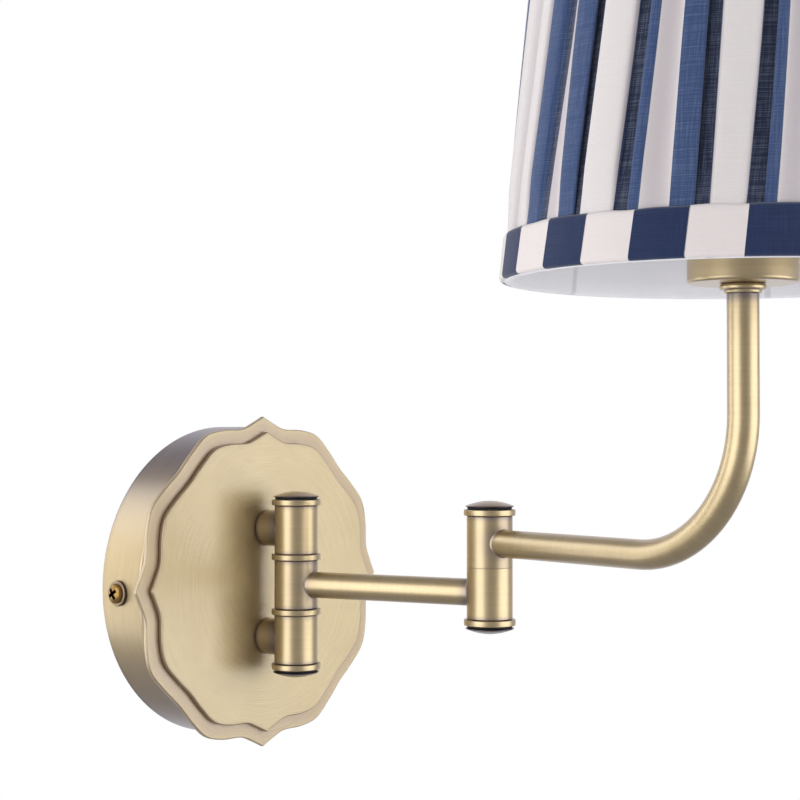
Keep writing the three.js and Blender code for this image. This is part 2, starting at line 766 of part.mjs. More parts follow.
// The flex from the terminal block, through the upper post, and down the pin.
const wallFlex = new THREE.CatmullRomCurve3([
  new THREE.Vector3(TERMINAL_X - 7, -7, TERMINAL_SIZE[2] / 2 + 1),
  new THREE.Vector3(TERMINAL_X - 8, -7, TERMINAL_SIZE[2] / 2 + 6),
  new THREE.Vector3(2, -9, POST_HEIGHT),
  new THREE.Vector3(0, -NIPPLE_BACK - 2, POST_HEIGHT),
  new THREE.Vector3(0, -WALL_PIVOT_DISTANCE + 6, POST_HEIGHT),
  new THREE.Vector3(0, -WALL_PIVOT_DISTANCE + 0.6, POST_HEIGHT - 2),
  new THREE.Vector3(0, -WALL_PIVOT_DISTANCE, POST_HEIGHT - 6),
  new THREE.Vector3(0, -WALL_PIVOT_DISTANCE, 5),
]);
addPiece(sconce, "flex_wall", "flex", tubeAlong(wallFlex, FLEX_RADIUS, 16, FLEX_SIDES));

// ---- Arm 1: from the wall pivot to the elbow ----

const elbowLow = -KNUCKLE_HEIGHT / 2;
const elbowSplit = KNUCKLE_HEIGHT / 2;
const elbowHigh = elbowSplit + ELBOW_SEAM + KNUCKLE_HEIGHT;
const elbowStack = pivotStack(elbowLow, elbowHigh);
const atElbow = (geometry) => geometry.translate(0, -ARM_1_LENGTH, 0);
const washerLow = elbowSplit - FRICTION_WASHER_RECESS;

addPiece(
  arm1,
  "swivel_knuckle",
  "brass",
  knuckle(-swivelTop, SWIVEL_HEIGHT, TUBE_RADIUS, 0),
);
addPiece(arm1, "arm_1_tube", "brass", straightTube());
addPiece(
  arm1,
  "elbow_lower_knuckle",
  "brass",
  atElbow(
    cut(
      knuckle(elbowLow, KNUCKLE_HEIGHT, TUBE_RADIUS, 0).rotateZ(Math.PI),
      bar(FRICTION_WASHER_RADIUS + SLIP, washerLow, elbowSplit + 1),
    ),
  ),
);
addPiece(
  arm1,
  "elbow_friction_washer",
  "steel",
  atElbow(
    bar(
      FRICTION_WASHER_RADIUS,
      washerLow + SEAT / 2,
      washerLow + SEAT / 2 + FRICTION_WASHER_THICKNESS,
      PIN_HOLE,
    ),
  ),
);
addPiece(arm1, "elbow_bottom_ring", "brass", atElbow(elbowStack.bottomRing));
addPiece(arm1, "elbow_bottom_washer", "rubber", atElbow(elbowStack.bottomWasher));
addPiece(arm1, "elbow_bottom_cap", "bronze", atElbow(elbowStack.bottomCap));
addPiece(arm1, "elbow_top_washer", "rubber", atElbow(elbowStack.topWasher));
addPiece(arm1, "elbow_top_cap", "bronze", atElbow(elbowStack.topCap));
addPiece(
  arm1,
  "elbow_pin",
  "steel",
  atElbow(hollowPin(elbowStack.pinLow, elbowStack.pinHigh, 0, ARM_2_HEIGHT)),
);

// The flex from the wall pivot's axis, along the tube, and up the elbow's pin.
const armFlex = new THREE.CatmullRomCurve3([
  new THREE.Vector3(0, 0, 3.2),
  new THREE.Vector3(0, -0.6, 1.2),
  new THREE.Vector3(0, -3, 0),
  new THREE.Vector3(0, -10, 0),
  new THREE.Vector3(0, -ARM_1_LENGTH / 2, 0),
  new THREE.Vector3(0, -ARM_1_LENGTH + 10, 0),
  new THREE.Vector3(0, -ARM_1_LENGTH + 3, 0),
  new THREE.Vector3(0, -ARM_1_LENGTH + 0.4, 1.6),
  new THREE.Vector3(0, -ARM_1_LENGTH, 5),
  new THREE.Vector3(0, -ARM_1_LENGTH, 9),
]);
addPiece(arm1, "flex_arm_1", "flex", tubeAlong(armFlex, FLEX_RADIUS, 20, FLEX_SIDES));

// ---- Arm 2: from the elbow to the lampholder ----

addPiece(
  arm2,
  "elbow_upper_knuckle",
  "brass",
  knuckle(elbowSplit + ELBOW_SEAM, KNUCKLE_HEIGHT, TUBE_RADIUS, ARM_2_HEIGHT),
);
addPiece(arm2, "elbow_top_ring", "brass", elbowStack.topRing);
addPiece(
  arm2,
  "arm_2_tube",
  "brass",
  tubeAlong(bentPath(TUBE_START, UPRIGHT_TOP), TUBE_RADIUS, 28, 12, TUBE_BORE),
);

const upright = new THREE.Group();
upright.position.y = -ARM_2_LENGTH;
arm2.add(upright);

const cupBottom = UPRIGHT_TOP + COLLAR_HEIGHT + 2 * SEAT;
const holderBottom = cupBottom + CUP_WALL + SLIP;
const boreBottom = holderBottom + HOLDER_FLOOR;
const capLow = boreBottom + CONTACT_HEIGHT;
const capHigh = holderBottom + HOLDER_HEIGHT + 1;
const nippleTop = holderBottom + NIPPLE_IN_HOLDER;
const nippleRadius = TUBE_BORE - SLIP;

addPiece(upright, "lampholder_collar", "brass", collar());
addPiece(upright, "lampholder_cup", "brass", lampholderCup(cupBottom));
addPiece(
  upright,
  "lampholder_nipple",
  "steel",
  bar(nippleRadius, UPRIGHT_TOP - NIPPLE_IN_TUBE, nippleTop, nippleRadius - LAMP_NIPPLE_WALL),
);
addPiece(upright, "lampholder_body", "plastic", lampholderBody(holderBottom, boreBottom));
addPiece(
  upright,
  "lampholder_sleeve",
  "brass",
  bar(
    HOLDER_RADIUS + SLIP,
    cupBottom + CUP_HEIGHT + SEAT,
    holderBottom + HOLDER_HEIGHT,
    HOLDER_RADIUS,
  ),
);
addPiece(
  upright,
  "lampholder_contact",
  "brass",
  bar(CONTACT_RADIUS, boreBottom + SEAT, capLow - SEAT),
);
addPiece(upright, "bulb_cap", "steel", bulbCap(capLow, capHigh));
addPiece(upright, "bulb_glass", "glass", bulbGlass(capHigh + SEAT));

// The carrier is held between two threaded nuts near the top of the holder.
const carrierHeight = SHADE_BOTTOM + CARRIER_HEIGHT;
for (const [level, sign] of [["lower", -1], ["upper", 1]]) {
  const middle = carrierHeight + sign * (CARRIER_THICKNESS / 2 + SEAT + SHADE_NUT_HEIGHT / 2);
  const nut = bar(
    SHADE_NUT_RADIUS,
    middle - SHADE_NUT_HEIGHT / 2,
    middle + SHADE_NUT_HEIGHT / 2,
    HOLDER_RADIUS + 2 * SLIP,
  );
  addPiece(upright, `shade_nut_${level}`, "brass", nut);
}

const lampFlex = bentPath(TUBE_START, UPRIGHT_TOP - 2);
const lampFlexPoints = [
  new THREE.Vector3(0, 0, ARM_2_HEIGHT - 5),
  new THREE.Vector3(0, -0.6, ARM_2_HEIGHT - 2),
  new THREE.Vector3(0, -3, ARM_2_HEIGHT),
  ...lampFlex.getSpacedPoints(24),
  new THREE.Vector3(0, -ARM_2_LENGTH, nippleTop + 1),
];
addPiece(
  arm2,
  "flex_arm_2",
  "flex",
  tubeAlong(new THREE.CatmullRomCurve3(lampFlexPoints), FLEX_RADIUS, 30, FLEX_SIDES),
);

const shade = new THREE.Group();
shade.position.z = SHADE_BOTTOM;
upright.add(shade);

const layerLow = HEM_THICKNESS + SLIP;
addPiece(
  shade,
  "shade_cover",
  "navy",
  layer(COVER_OUT, COVER_THICKNESS, layerLow, SHADE_HEIGHT - layerLow),
);
addPiece(shade, "shade_bottom_hem", "navy", hem(false));
addPiece(shade, "shade_top_hem", "navy", hem(true));
addPiece(shade, "shade_frame", "steel", shadeFrame());
addPiece(shade, "shade_lining", "cream", shadeLining(CARRIER_HEIGHT));
addPiece(shade, "shade_carrier", "steel", shadeCarrier(CARRIER_HEIGHT));

export default sconce;
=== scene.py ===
"""Looks for a swing arm wall sconce: antique brass, a pleated striped shade and its lining.

Metres, +Z up, the wall at y = 0 and the arms out along -Y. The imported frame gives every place.
"""
import json
import math
import random

import bmesh
import bpy
from mathutils import Matrix, Vector

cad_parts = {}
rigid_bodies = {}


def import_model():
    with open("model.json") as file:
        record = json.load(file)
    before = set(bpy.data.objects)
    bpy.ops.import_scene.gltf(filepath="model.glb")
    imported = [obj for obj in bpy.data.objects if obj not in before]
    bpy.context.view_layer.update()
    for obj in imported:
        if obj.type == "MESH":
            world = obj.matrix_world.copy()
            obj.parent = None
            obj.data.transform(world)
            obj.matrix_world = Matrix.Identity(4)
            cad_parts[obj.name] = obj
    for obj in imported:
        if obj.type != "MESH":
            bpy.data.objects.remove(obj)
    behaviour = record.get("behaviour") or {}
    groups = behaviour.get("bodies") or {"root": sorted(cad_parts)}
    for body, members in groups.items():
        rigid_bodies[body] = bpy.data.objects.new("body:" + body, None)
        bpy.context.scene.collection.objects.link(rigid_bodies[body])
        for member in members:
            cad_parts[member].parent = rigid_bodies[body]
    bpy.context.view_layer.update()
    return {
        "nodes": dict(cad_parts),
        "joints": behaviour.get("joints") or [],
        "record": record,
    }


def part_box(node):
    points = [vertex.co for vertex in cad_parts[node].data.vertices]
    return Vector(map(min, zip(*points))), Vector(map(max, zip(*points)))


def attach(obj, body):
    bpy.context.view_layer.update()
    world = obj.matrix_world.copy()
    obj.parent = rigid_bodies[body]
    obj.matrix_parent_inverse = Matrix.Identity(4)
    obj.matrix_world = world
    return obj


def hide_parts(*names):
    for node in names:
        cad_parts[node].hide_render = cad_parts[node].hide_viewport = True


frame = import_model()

MM = 0.001
BODY_OF = {n: b for b, nodes in frame["record"]["behaviour"]["bodies"].items() for n in nodes}


# ---- Camera ----

def stand_camera(place, yaw, pitch, lens):
    """A camera at a place, turned yaw degrees to the right of +Y and pitch degrees up."""
    data = bpy.data.cameras.new("camera")
    data.lens = lens
    data.sensor_width = 36
    data.clip_start = 0.01
    camera = bpy.data.objects.new("camera", data)
    camera.location = place
    camera.rotation_euler = (math.radians(90 + pitch), 0, math.radians(-yaw))
    bpy.context.scene.collection.objects.link(camera)
    bpy.context.scene.camera = camera


stand_camera(Vector((-481.24, -521.91, 57.97)) * MM, yaw=48.51, pitch=1.13, lens=78.505)
bpy.context.scene.view_settings.view_transform = "Standard"


# ---- Shader maths ----

class Value:
    """A socket's value in a material, so that shader maths reads as arithmetic."""

    def __init__(self, finish, socket):
        self.finish = finish
        self.socket = socket

    def maths(self, operation, *values):
        return self.finish.node("Math", {"operation": operation}, dict(enumerate(values)))

    def __add__(self, other):
        return self.maths("ADD", self, other)

    def __sub__(self, other):
        return self.maths("SUBTRACT", self, other)

    def __rsub__(self, other):
        return self.maths("SUBTRACT", other, self)

    def __mul__(self, other):
        return self.maths("MULTIPLY", self, other)

    def __pow__(self, other):
        return self.maths("POWER", self, other)

    __radd__ = __add__
    __rmul__ = __mul__

    def sine(self):
        return self.maths("SINE", self)

    def wrapped(self, period):
        return self.maths("FLOORED_MODULO", self, period)

    def above(self, edge, width):
        """0 below an edge and 1 above it, smooth over a width."""
        return self.finish.node(
            "MapRange",
            {"interpolation_type": "SMOOTHSTEP"},
            {"Value": self, "From Min": edge - width / 2, "From Max": edge + width / 2},
        )


class Finish:
    """A material under construction."""

    def __init__(self, name):
        self.material = bpy.data.materials.new(name)
        self.material.use_nodes = True
        self.tree = self.material.node_tree
        self.tree.nodes.clear()

    def node(self, kind, settings=None, sockets=None, out=0):
        """Adds a node: its settings first, then its sockets' values or links."""
        made = self.tree.nodes.new("ShaderNode" + kind)
        for key, value in (settings or {}).items():
            setattr(made, key, value)
        for key, value in (sockets or {}).items():
            if isinstance(value, Value):
                self.tree.links.new(value.socket, made.inputs[key])
            else:
                made.inputs[key].default_value = value
        return Value(self, made.outputs[out])

    def attribute(self, name, vector=False):
        return self.node("Attribute", {"attribute_name": name}, out=1 if vector else 2)

    def place(self):
        return self.node("TexCoord", out=3)

    def scaled(self, vector, scale):
        return self.node("VectorMath", {"operation": "MULTIPLY"}, {0: vector, 1: scale})

    def part(self, vector, axis):
        return self.node("SeparateXYZ", None, {0: vector}, out="XYZ".index(axis))

    def noise(self, vector, scale, detail=3, roughness=0.5):
        sockets = {"Vector": vector, "Scale": scale, "Detail": detail, "Roughness": roughness}
        return self.node("TexNoise", None, sockets)

    def blend(self, share, first, second):
        return self.node(
            "Mix", {"data_type": "RGBA"}, {0: share, 6: first, 7: second}, out=2
        )

    def bump(self, height, distance, strength=1.0):
        sockets = {"Height": height, "Distance": distance, "Strength": strength}
        return self.node("Bump", None, sockets)

    def surface(self, **sockets):
        """Ends the material in a Principled shader, and returns the material."""
        named = {key.replace("_", " "): value for key, value in sockets.items()}
        shader = self.node("BsdfPrincipled", None, named)
        output = self.tree.nodes.new("ShaderNodeOutputMaterial")
        self.tree.links.new(shader.socket, output.inputs["Surface"])
        return self.material


def srgb(red, green, blue):
    """A colour for a socket, from its 0 to 255 values."""
    linear = []
    for value in (red, green, blue):
        share = value / 255
        linear.append(share / 12.92 if share <= 0.04045 else ((share + 0.055) / 1.055) ** 2.4)
    return (*linear, 1.0)


# ---- Materials ----

def brushed_metal(name, light, deep, tarnish_and_shade_colour, roughness=0.3, lines=0.5):
    """Brushed metal that takes a tarnish colour where its attribute says; that attribute holds real
    patina and painted shade. Its grain attribute runs across the brush lines on X and round them
    on Y and Z."""
    finish = Finish(name)
    grain = finish.attribute("grain", vector=True)
    patina_and_shade = finish.attribute("patina_and_shade")
    fine = finish.noise(finish.scaled(grain, (1, 0.03, 0.03)), 3800, 2, 0.6)
    streaks = finish.noise(finish.scaled(grain, (1, 0.05, 0.05)), 700, 3, 0.55)
    clouds = finish.noise(finish.place(), 45, 3)
    tone = streaks * 0.5 + fine * 0.25 + clouds * 0.45 - 0.1
    base = finish.blend(tone, deep, light)
    # Real tarnish and painted shade, mottled by the noise.
    stain_and_shade = patina_and_shade * (0.55 + clouds * 0.5 + streaks * 0.4)
    colour = finish.blend(stain_and_shade.above(0.5, 1.0), base, tarnish_and_shade_colour)
    height = fine * 0.6 + streaks * 0.4
    return finish.surface(
        Base_Color=colour,
        Metallic=1.0,
        Roughness=roughness + fine * 0.08 + streaks * 0.06 + patina_and_shade * 0.08,
        Normal=finish.bump(height, 0.00006 * lines),
        Coat_Weight=0.8,
        Coat_IOR=1.8,
        Coat_Roughness=0.28,
    )


def plain_metal(name, light, deep, roughness=0.35):
    """Metal of a fixing or hidden fitting, with a rolled and slightly handled surface."""
    finish = Finish(name)
    grime_and_recess_shade = srgb(26, 20, 16)
    place = finish.place()
    clouds = finish.noise(place, 120, 4, 0.6)
    scratches = finish.noise(finish.scaled(place, (1, 1, 0.1)), 2500, 2)
    colour = finish.blend(clouds * 0.7 + scratches * 0.3, deep, light)
    # Where the patina value says, as in a screw's recess, the metal turns near black: grime and painted
    # shade.
    colour = finish.blend(finish.attribute("patina_and_shade"), colour, grime_and_recess_shade)
    return finish.surface(
        Base_Color=colour,
        Metallic=1.0,
        Roughness=roughness + clouds * 0.12,
        Normal=finish.bump(scratches, 0.00004),
    )


def moulded(name, light, deep, roughness=0.45, coat=0.0):
    """Moulded plastic, rubber or glazed stock with a fine skin texture."""
    finish = Finish(name)
    place = finish.place()
    skin = finish.noise(place, 2200, 3)
    clouds = finish.noise(place, 60, 3)
    return finish.surface(
        Base_Color=finish.blend(clouds * 0.6 + skin * 0.4, deep, light),
        Roughness=roughness + skin * 0.1,
        Normal=finish.bump(skin, 0.00003),
        Coat_Weight=coat,
        Coat_Roughness=0.1,
    )


THREAD = 0.62 * MM  # the pitch of the cloth's threads


def weave(finish):
    """The height of a plain weave over the cloth's UV map, and its loose and tight places."""
    cloth = finish.node("UVMap", {"uv_map": "cloth"})
    turns = 2 * math.pi / THREAD
    warp = (finish.part(cloth, "X") * turns).sine()
    weft = (finish.part(cloth, "Y") * turns).sine()
    uneven = finish.noise(finish.scaled(cloth, (60, 2600, 1)), 1, 3, 0.6)
    slubs = finish.noise(finish.scaled(cloth, (1900, 90, 1)), 1, 3, 0.6)
    threads = weft * 0.16 + warp * 0.07 + 0.5
    return threads * (0.45 + uneven * 1.1), uneven * 0.5 + slubs * 0.5


def striped_cloth(name, navy, navy_lit, navy_sheer_and_shade, pale, pale_lit, pale_fold_shade, ticks=0.2):
    """Woven cotton with navy and pale stripes. Deep in a fold it is painted darker: painted shade,
    and in the navy a single sheer layer with its threads apart. Ticks is how much the loose places
    in the navy stripes show their undyed threads."""
    finish = Finish(name)
    undyed = srgb(128, 136, 156)
    lit_through = srgb(128, 136, 150)
    threads, slubs = weave(finish)
    stripe = finish.attribute("stripe").wrapped(2.0)
    wobble = slubs * 0.03 - 0.015
    is_navy = (stripe + wobble).above(1.0, 0.03)
    depth = finish.attribute("depth")
    # Painted shade deep in the folds, where the navy is also a single sheer layer.
    deep_fold_shade = depth.above(0.72, 0.3)
    tone = threads * 0.55 + slubs * 0.45
    blue = finish.blend(tone, navy, navy_lit)
    blue = finish.blend(slubs.above(0.54, 0.2) * ticks, blue, undyed)
    specks = (threads * 0.22 + slubs).above(0.64, 0.2)
    thin = finish.blend(specks * 0.3, navy_sheer_and_shade, lit_through)
    blue = finish.blend(deep_fold_shade, blue, thin)
    white = finish.blend(tone, pale, pale_lit)
    # Painted shade in the pale stripes' valleys.
    white = finish.blend(depth.above(0.45, 0.8), white, pale_fold_shade)
    return finish.surface(
        Base_Color=finish.blend(is_navy, white, blue),
        Roughness=0.85 + threads * 0.1,
        Normal=finish.bump(threads * 0.7 + slubs * 0.3, 0.00012, 0.7),
        Sheen_Weight=0.25,
        Sheen_Roughness=0.5,
        Specular_IOR_Level=0.2,
    )


def lining_cloth(name, deep, light):
    """Thin smooth lining cloth with faint seams where its panels meet."""
    finish = Finish(name)
    seam_grey = srgb(178, 177, 182)
    threads, slubs = weave(finish)
    seam = (finish.attribute("stripe").wrapped(1.0) - 0.5) ** 2
    ridge = 1 - seam.above(0.0002, 0.0004)
    cloth = finish.node("UVMap", {"uv_map": "cloth"})
    clouds = finish.noise(finish.scaled(cloth, (60, 25, 1)), 1, 3)
    colour = finish.blend(threads * 0.25 + slubs * 0.3 + clouds * 0.45, deep, light)
    return finish.surface(
        Base_Color=finish.blend(ridge * 0.35, colour, seam_grey),
        Roughness=0.75 + slubs * 0.1,
        Normal=finish.bump(threads * 0.2 + ridge * 0.8 + clouds * 0.6, 0.0004, 0.6),
        Sheen_Weight=0.1,
        Specular_IOR_Level=0.25,
    )


def braided_flex(name):
    """A cotton braid: two sets of threads that cross as they wind round the flex."""
    finish = Finish(name)
    winds = 5200  # radians a metre
    place = finish.place()
    along = finish.part(place, "Y") + finish.part(place, "Z")
    across = finish.part(place, "X") + finish.part(place, "Z") * 0.3
    one = ((along + across) * winds).sine()
    other = ((along - across) * winds).sine()
    braid = one * other * 0.5 + 0.5
    return finish.surface(
        Base_Color=finish.blend(braid, srgb(128, 98, 42), srgb(206, 168, 84)),
        Roughness=0.6 + braid * 0.2,
        Normal=finish.bump(braid, 0.0002),
    )


ANTIQUE_BRASS = brushed_metal(
    "antique_brass", srgb(212, 192, 146), srgb(172, 150, 108), srgb(126, 112, 114), 0.36
)
PLATE_BRASS = brushed_metal(
    "plate_brass", srgb(214, 197, 156), srgb(188, 168, 124), srgb(182, 160, 140), 0.46, 3.2
)
DARK_BRASS = brushed_metal(
    "dark_brass", srgb(184, 154, 108), srgb(134, 111, 92), srgb(60, 49, 53), 0.3
)
STEEL = plain_metal("zinc_steel", srgb(200, 202, 206), srgb(150, 152, 156))
TURNED_BRASS = plain_metal("turned_brass", srgb(176, 142, 84), srgb(132, 102, 58), 0.34)
RUBBER = moulded("black_rubber", srgb(34, 33, 35), srgb(18, 18, 20), 0.7)
INSULATOR = moulded("lampholder_insulator", srgb(236, 233, 224), srgb(218, 214, 204), 0.4)
OPAL_GLASS = moulded("opal_glass", srgb(248, 247, 243), srgb(238, 237, 233), 0.12, coat=0.6)
COVER_CLOTH = striped_cloth(
    "striped_cover",
    srgb(40, 57, 94),
    srgb(64, 86, 126),
    # navy deep in the folds: sheer layer and painted shade
    srgb(32, 41, 64),
    srgb(200, 194, 192),
    srgb(220, 215, 213),
    # pale deep in the folds: painted shade
    srgb(184, 176, 178),
)
HEM_CLOTH = striped_cloth(
    "striped_hem",
    srgb(23, 36, 68),
    srgb(36, 51, 86),
    srgb(20, 27, 48),
    srgb(208, 199, 196),
    srgb(224, 217, 214),
    srgb(206, 200, 198),
    ticks=0.03,
)
LINING_CLOTH = lining_cloth("lining_cloth", srgb(228, 228, 232), srgb(247, 247, 249))
FLEX_BRAID = braided_flex("flex_braid")


# ---- Mesh helpers ----

def skin(name, rows, loop=False, wrap=True):
    """A mesh over rows of points. Each row closes on itself if wrap is set, and the last row
    meets the first if loop is set. A row of one point is a pole."""
    starts, points = [], []
    for row in rows:
        starts.append(len(points))
        points.extend(row)
    faces = []
    following = list(range(1, len(rows))) + ([0] if loop else [])
    for a, b in zip(range(len(rows)), following):
        count = max(len(rows[a]), len(rows[b]))
        for i in range(count if wrap else count - 1):
            j = (i + 1) % count
            low = [starts[a]] if len(rows[a]) == 1 else [starts[a] + i, starts[a] + j]
            high = [starts[b]] if len(rows[b]) == 1 else [starts[b] + j, starts[b] + i]
            faces.append(low + high)
    mesh = bpy.data.meshes.new(name)
    mesh.from_pydata(points, [], faces)
    piece = bpy.data.objects.new(name, mesh)
    bpy.context.scene.collection.objects.link(piece)
    return piece


def face_outwards(piece):
    """Turns a closed shell's faces outwards and shades it smooth."""
    shell = bmesh.new()
    shell.from_mesh(piece.data)
    bmesh.ops.recalc_face_normals(shell, faces=shell.faces)
    shell.to_mesh(piece.data)
    shell.free()
    piece.data.polygons.foreach_set("use_smooth", [True] * len(piece.data.polygons))


def write_floats(piece, name, values):
    """Writes one number for each point of a piece, for its material to read."""
    piece.data.attributes.new(name, "FLOAT", "POINT").data.foreach_set("value", values)


def write_vectors(piece, name, values):
    """Writes one vector for each point of a piece, for its material to read."""
    flat = [part for value in values for part in value]
    piece.data.attributes.new(name, "FLOAT_VECTOR", "POINT").data.foreach_set("vector", flat)


def finish_piece(piece, node, material):
    """Gives a finished piece its material, hangs it on its CAD node's body and hides that node."""
    piece.data.materials.append(material)
    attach(piece, BODY_OF[node])
    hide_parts(node)


def soften(profile, steps=4):
    """Rounds the corners of a profile. Each point is (radius, height) or (radius, height,
    corner radius). Short holding segments keep the flats beside a corner flat."""
    done = []
    for i, (radius, height, *corner) in enumerate(profile):
        here = Vector((radius, height))
        size = corner[0] if corner else 0
        if not size:
            done.append(here)
            continue
        before = Vector(profile[i - 1][:2]) - here
        after = Vector(profile[(i + 1) % len(profile)][:2]) - here
        half = before.angle(after) / 2
        reach = min(size / math.tan(half), 0.48 * before.length, 0.48 * after.length)
        start = here + before.normalized() * reach
        end = here + after.normalized() * reach
        hold = 0.15 * reach
        done.append(start + before.normalized() * hold)
        for step in range(steps + 1):
            t = step / steps
            done.append(start.lerp(here, t).lerp(here.lerp(end, t), t))
        done.append(end + after.normalized() * hold)
    return done


def divided(points, step, loop):
    """Points along a profile, with extra ones so that none are further apart than a step."""
    done = []
    ends = points[1:] + ([points[0]] if loop else [])
    for a, b in zip(points, ends):
        count = max(1, math.ceil((b - a).length / step))
        done += [a.lerp(b, i / count) for i in range(count)]
    if not loop:
        done.append(points[-1])
    return done


def tarnish_and_shade_at(height, places):
    """How dark the patina and painted shade are at a height, from places of (height, width, strength).
    """
    return sum(s * math.exp(-(((height - h) / w) ** 2)) for h, w, s in places)


def turned(
    name, profile, centre, outwards=False, sides=96, patina_and_shade=(), step=1.0 * MM, flute=None, stain_and_shade=None
):
    """A turned piece: a profile of (radius, height) about an axis through centre, which runs up,
    or out from the wall along -Y. A profile that stays off the axis closes on itself. The flute
    function gives the radius's share at an angle. Patina and painted shade gather at the heights
    given, and the stain function adds painted shade and painted reflection where it says."""
    loop = profile[0][0] > 0
    points = divided(soften(profile), step, loop)
    rows, grain, tarnish_and_shade = [], [], []
    travelled = 0
    for i, point in enumerate(points):
        travelled += (point - points[i - 1]).length if i else 0
        radius, height = point
        row = []
        for side in range(sides if radius > 1e-7 else 1):
            angle = 2 * math.pi * side / sides
            reach = radius * (flute(angle) if flute else 1)
            x, y = reach * math.cos(angle), reach * math.sin(angle)
            row.append(centre + (Vector((x, -height, y)) if outwards else Vector((x, y, height))))
            grain.append((travelled, x, y))
            tarnish_and_shade.append(tarnish_and_shade_at(height, patina_and_shade) + (stain_and_shade(row[-1]) if stain_and_shade else 0))
        rows.append(row)
    piece = skin(name, rows, loop)
    write_vectors(piece, "grain", grain)
    write_floats(piece, "patina_and_shade", tarnish_and_shade)
    face_outwards(piece)
    return piece


SADDLE_REACH = 8 * MM  # how far along a tube the shape of its saddled end is felt


def swept(name, line, radius, saddles=(0, 0), patina_and_shade=(), sides=48, bore=0, fillet=0.9 * MM):
    """A tube along a line that lies in one upright plane. A saddle is the radius of the upright
    knuckle that an end meets: the end follows its surface and flares into it by a fillet."""
    total = sum((b - a).length for a, b in zip(line, line[1:]))
    side = (line[1] - line[0]).cross(Vector((0, 0, 1))).normalized()
    rows, grain, tarnish_and_shade = [], [], []
    travelled = 0
    for i, here in enumerate(line):
        travelled += (here - line[i - 1]).length if i else 0
        forward = (line[min(i + 1, len(line) - 1)] - line[max(i - 1, 0)]).normalized()
        upward = side.cross(forward).normalized()
        reach, shift_by = radius, 0
        ends = [(travelled, saddles[0], -1), (total - travelled, saddles[1], 1)]
        for distance, saddle, sign in ends:
            if saddle and distance < SADDLE_REACH:
                if distance < fillet:
                    reach = radius + fillet - math.sqrt(fillet**2 - (fillet - distance) ** 2)
                shift_by = sign * (1 - distance / SADDLE_REACH)
        row = []
        for step in range(sides):
            angle = 2 * math.pi * step / sides
            across, rise = reach * math.cos(angle), reach * math.sin(angle)
            knuckle = saddles[0] if shift_by < 0 else saddles[1]
            shift = shift_by * (knuckle - math.sqrt(max(0, knuckle**2 - across**2))) if shift_by else 0
            row.append(here + side * across + upward * rise + forward * shift)
            grain.append((travelled, across, rise))
            tarnish_and_shade.append(tarnish_and_shade_at(travelled, patina_and_shade))
        rows.append(row)
    if bore:
        for centre, source in list(zip(line, rows))[::-1]:
            rows.append([centre + (point - centre) * (bore / radius) for point in source])
        grain += grain[::-1]
        # The bore's inside is painted darker: painted shade inside the tube.
        tarnish_and_shade += [0.6] * len(tarnish_and_shade)
    piece = skin(name, rows, loop=bool(bore))
    write_vectors(piece, "grain", grain)
    write_floats(piece, "patina_and_shade", tarnish_and_shade)
    if not bore:
        cap_ends(piece)
    face_outwards(piece)
    return piece


def cap_ends(piece):
    """Closes a piece's open ends with flat faces."""
    shell = bmesh.new()
    shell.from_mesh(piece.data)
    bmesh.ops.holes_fill(shell, edges=[e for e in shell.edges if e.is_boundary])
    shell.to_mesh(piece.data)
    shell.free()


END_STOPS = [0, 0.08, 0.2, 0.36, 0.56, 0.8]  # millimetres from the end of a straight stretch


def straight(start, end, step=1.0 * MM):
    """Points along a straight line, closer together near its ends, where a fillet may be."""
    length = (end - start).length
    stops = [stop * MM for stop in END_STOPS]
    parts = max(1, round((length - 2 * MM) / step))
    stops += [MM + (length - 2 * MM) * i / parts for i in range(parts + 1)]
    stops += [length - stop * MM for stop in reversed(END_STOPS)]
    return [start.lerp(end, stop / length) for stop in stops]


def middle_of(node):
    """The middle of a CAD node's box."""
    low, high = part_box(node)
    return (low + high) / 2


def levels(node):
    """The bottom and top of a CAD node."""
    low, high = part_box(node)
    return low.z, high.z


# ---- Canopy and plates ----

PIVOTS = {joint["name"]: Vector(joint["pos_m"]) for joint in frame["joints"]}
WALL_PIVOT = PIVOTS["wall_swing"]
ELBOW = PIVOTS["elbow_swing"]
UPRIGHT = Vector((middle_of("lampholder_cup").x, middle_of("lampholder_cup").y, 0))
WALL_CENTRE = Vector((0, 0, 0))


def canopy_pan():
    """The spun pan, open at the wall, painted darker at its top and bottom as a painted reflection."""
    low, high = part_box("canopy_pan")
    radius = high.z
    depth = -low.y
    wall = 1.2 * MM
    inside = radius - wall
    profile = [
        (0, depth - wall),
        (inside, depth - wall, 1.2 * MM),
        (inside, 0, 0.2 * MM),
        (radius, 0, 0.3 * MM),
        (radius, depth, 1.6 * MM),
        (0, depth),
    ]

    # Painted reflection: the pan's top and bottom are painted darker, the top more, for the dim
    # surroundings they mirror.
    def painted_reflection_top_and_bottom(point):
        return (1.1 if point.z > 0 else 0.8) * abs(point.z / radius) ** 1.6

    tarnish_and_shade = [(0, 1.2 * MM, 0.3), (depth, 1.5 * MM, 0.4)]
    piece = turned(
        "spun_canopy_pan", profile, WALL_CENTRE, True, 144, tarnish_and_shade, 1.6 * MM, stain_and_shade=painted_reflection_top_and_bottom
    )
    finish_piece(piece, "canopy_pan", ANTIQUE_BRASS)


# One eighth of the plates' outline, from a point to the dip between two lobes.
SCALLOP = [(0, 1), (5, 0.963), (11, 0.941), (20, 0.976), (28, 0.998), (37, 0.971), (45, 0.955)]


